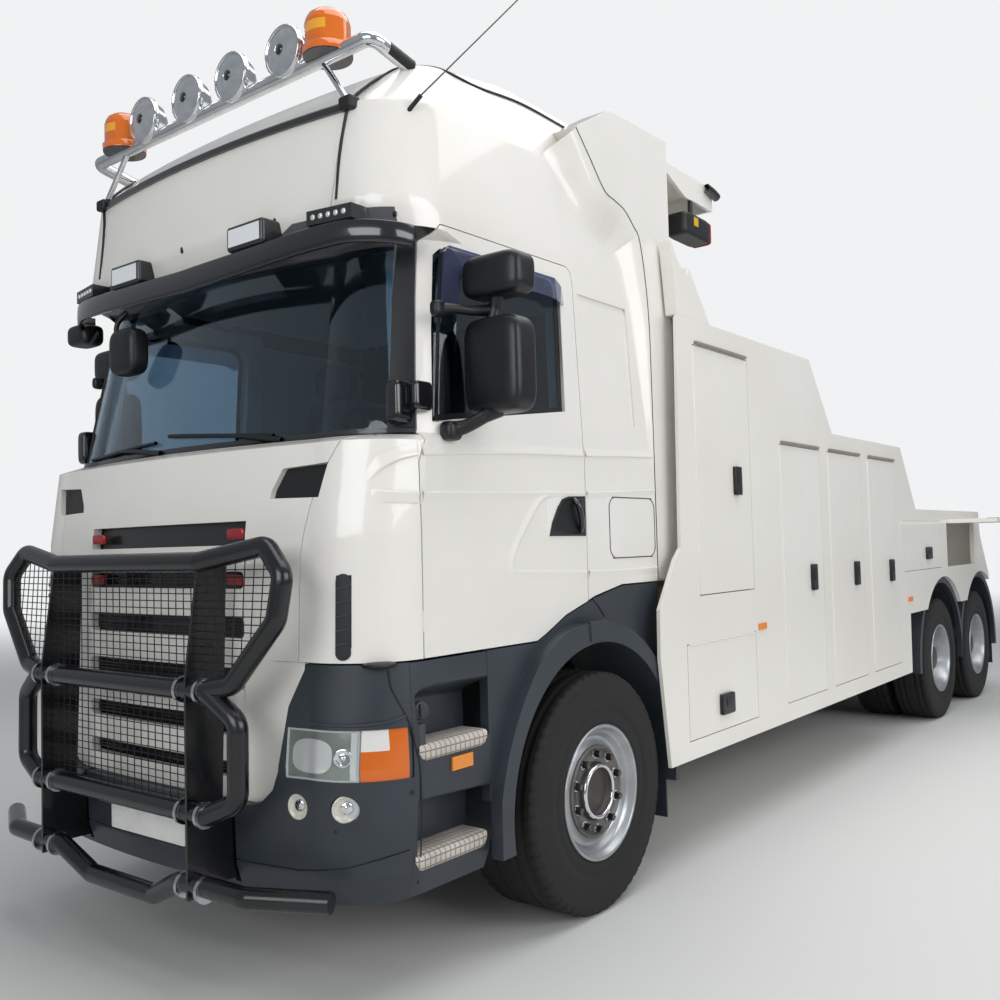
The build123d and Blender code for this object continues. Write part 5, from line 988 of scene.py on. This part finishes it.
def nuts(name, x, side, face, size, high, material, body, n=6):
    """The wheel's nuts in their ring, each a short tapered prism with n sides."""
    a, b = 2 * math.pi * (np.arange(bolts)[:, None, None] + 0.5) / bolts, around(n)
    scale = size * np.array((1.25, 1.2, 1.0, 1.0, 0.86, 0.001))[:, None]
    lift = high * np.array((0.0, 0.25, 0.25, 0.92, 1.0, 1.0))[:, None]
    x = x + bolt_circle * np.cos(a) + scale * np.cos(b)
    z = wheel_z + bolt_circle * np.sin(a) + scale * np.sin(b)
    faces = net(len(scale), n, around_columns=True, count=bolts)[:, ::side]
    return piece(name, flip(np.stack((x, face + lift + 0 * x, z), -1), side), faces, material, body,
                 smooth=False)


def wheel_part(name, x, side, face, profile, material, body, n=96):
    """A turned part of a wheel: pairs of its radius and its distance in from the outer face."""
    spin_piece(name, (x, side * face, wheel_z), (0, -side, 0), profile, material, body, n)


rim = [(0.29, 0.03), (0.298, 0.01), (0.296, 0.002), (0.288, 0.0005), (0.281, 0.006), (0.274, 0.026),
       (0.262, 0.034), (0.254, 0.04), (0.246, 0.06), (0.232, 0.066), (0.215, 0.058), (0.205, 0.05),
       (0.204, 0.047), (0.202, 0.047)]
disc = [(0.204, 0.048), (0.203, 0.036), (0.199, 0.033), (0.19, 0.033), (0.186, 0.038), (0.15, 0.04),
        (0.13, 0.04), (0.122, 0.046)]
hub = [(0.126, 0.044), (0.124, 0.03), (0.118, 0.02), (0.106, 0.017), (0.104, 0.026), (0.098, 0.045),
       (0.094, 0.047), (0.08, 0.046), (0.04, 0.043), (0.0005, 0.042)]
hub_ring = [(0.122, 0.03), (0.119, 0.016), (0.112, 0.014), (0.105, 0.017), (0.104, 0.022)]
bowl = [(0.29, 0.03), (0.298, 0.01), (0.296, 0.002), (0.288, 0.0005), (0.281, 0.006), (0.275, 0.03),
        (0.266, 0.045), (0.258, 0.11), (0.24, 0.15), (0.214, 0.162), (0.19, 0.164), (0.14, 0.164),
        (0.128, 0.163)]
cap = [(0.135, 0.166), (0.128, 0.15), (0.112, 0.1), (0.1, 0.07), (0.092, 0.062), (0.05, 0.058),
       (0.0005, 0.057)]
inner = [(0.29, 0.03), (0.297, 0.006), (0.281, 0.01), (0.27, 0.05), (0.262, 0.2), (0.28, 0.29)]
for side, where in sides:
    body = f"front_wheel_{where}"
    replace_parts(tyre_piece(f"front_tyre_{where}", 0.0, side, front_face, 0.385, body), body)
    wheel_part(f"front_rim_{where}", 0.0, side, front_face, rim, rim_silver, body)
    wheel_part(f"front_disc_{where}", 0.0, side, front_face, disc, disc_grey, body)
    nuts(f"front_washers_{where}", 0.0, side, front_face - 0.04, 0.019, 0.006, chrome, body, 24)
    wheel_part(f"front_hub_{where}", 0.0, side, front_face, hub, hub_dark, body, 72)
    wheel_part(f"front_hub_ring_{where}", 0.0, side, front_face, hub_ring, chrome, body, 72)
    nuts(f"front_nuts_{where}", 0.0, side, front_face - 0.04, 0.0165, 0.03, nut_black, body)
    for axle_name, x in (("drive", -5.7), ("tag", -7.05)):
        body = f"{axle_name}_wheel_{where}"
        outer = tyre_piece(f"{axle_name}_outer_tyre_{where}", x, side, rear_face, 0.3, body)
        tyre_piece(f"{axle_name}_inner_tyre_{where}", x, side, inner_face, 0.3, body)
        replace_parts(outer, body)
        wheel_part(f"{axle_name}_rim_{where}", x, side, rear_face, bowl, rim_silver, body)
        wheel_part(f"{axle_name}_hub_{where}", x, side, rear_face, cap, hub_dark, body, 72)
        nuts(f"{axle_name}_nuts_{where}", x, side, rear_face - 0.164, 0.0165, 0.03, hub_dark, body)
        wheel_part(f"{axle_name}_inner_rim_{where}", x, side, inner_face, inner, rim_silver, body, 64)

# Softened edges: the folded and pressed panels get the small radius of a real bend, and their bent
# faces are shaded as one.


def soften(radius, *names):
    """Rounds the outer edges of CAD nodes or pieces by that radius and shades their bent faces as one."""
    for held in (node[n] if isinstance(n, str) else n for n in names):
        joined = held.modifiers.new("joined", "WELD")
        joined.merge_threshold = 0.00002
        rounded = held.modifiers.new("rounded", "BEVEL")
        rounded.width, rounded.segments, rounded.limit_method = radius, 2, "ANGLE"
        rounded.angle_limit = math.radians(32)
        rounded.use_clamp_overlap = True
        shaded = held.modifiers.new("shaded", "WEIGHTED_NORMAL")
        shaded.keep_sharp = False
        shaded.weight = 60


soften(0.004, "cab_shell", "cab_front", "cab_roof", "cab_fairings", "door_left", "door_right",
       "lockers_left", "lockers_right", "headboard", "boom", "underlift_arm", "lift_barrels", "grille",
       *locker_leaves)
soften(0.006, "mudguards", bumper_skin)
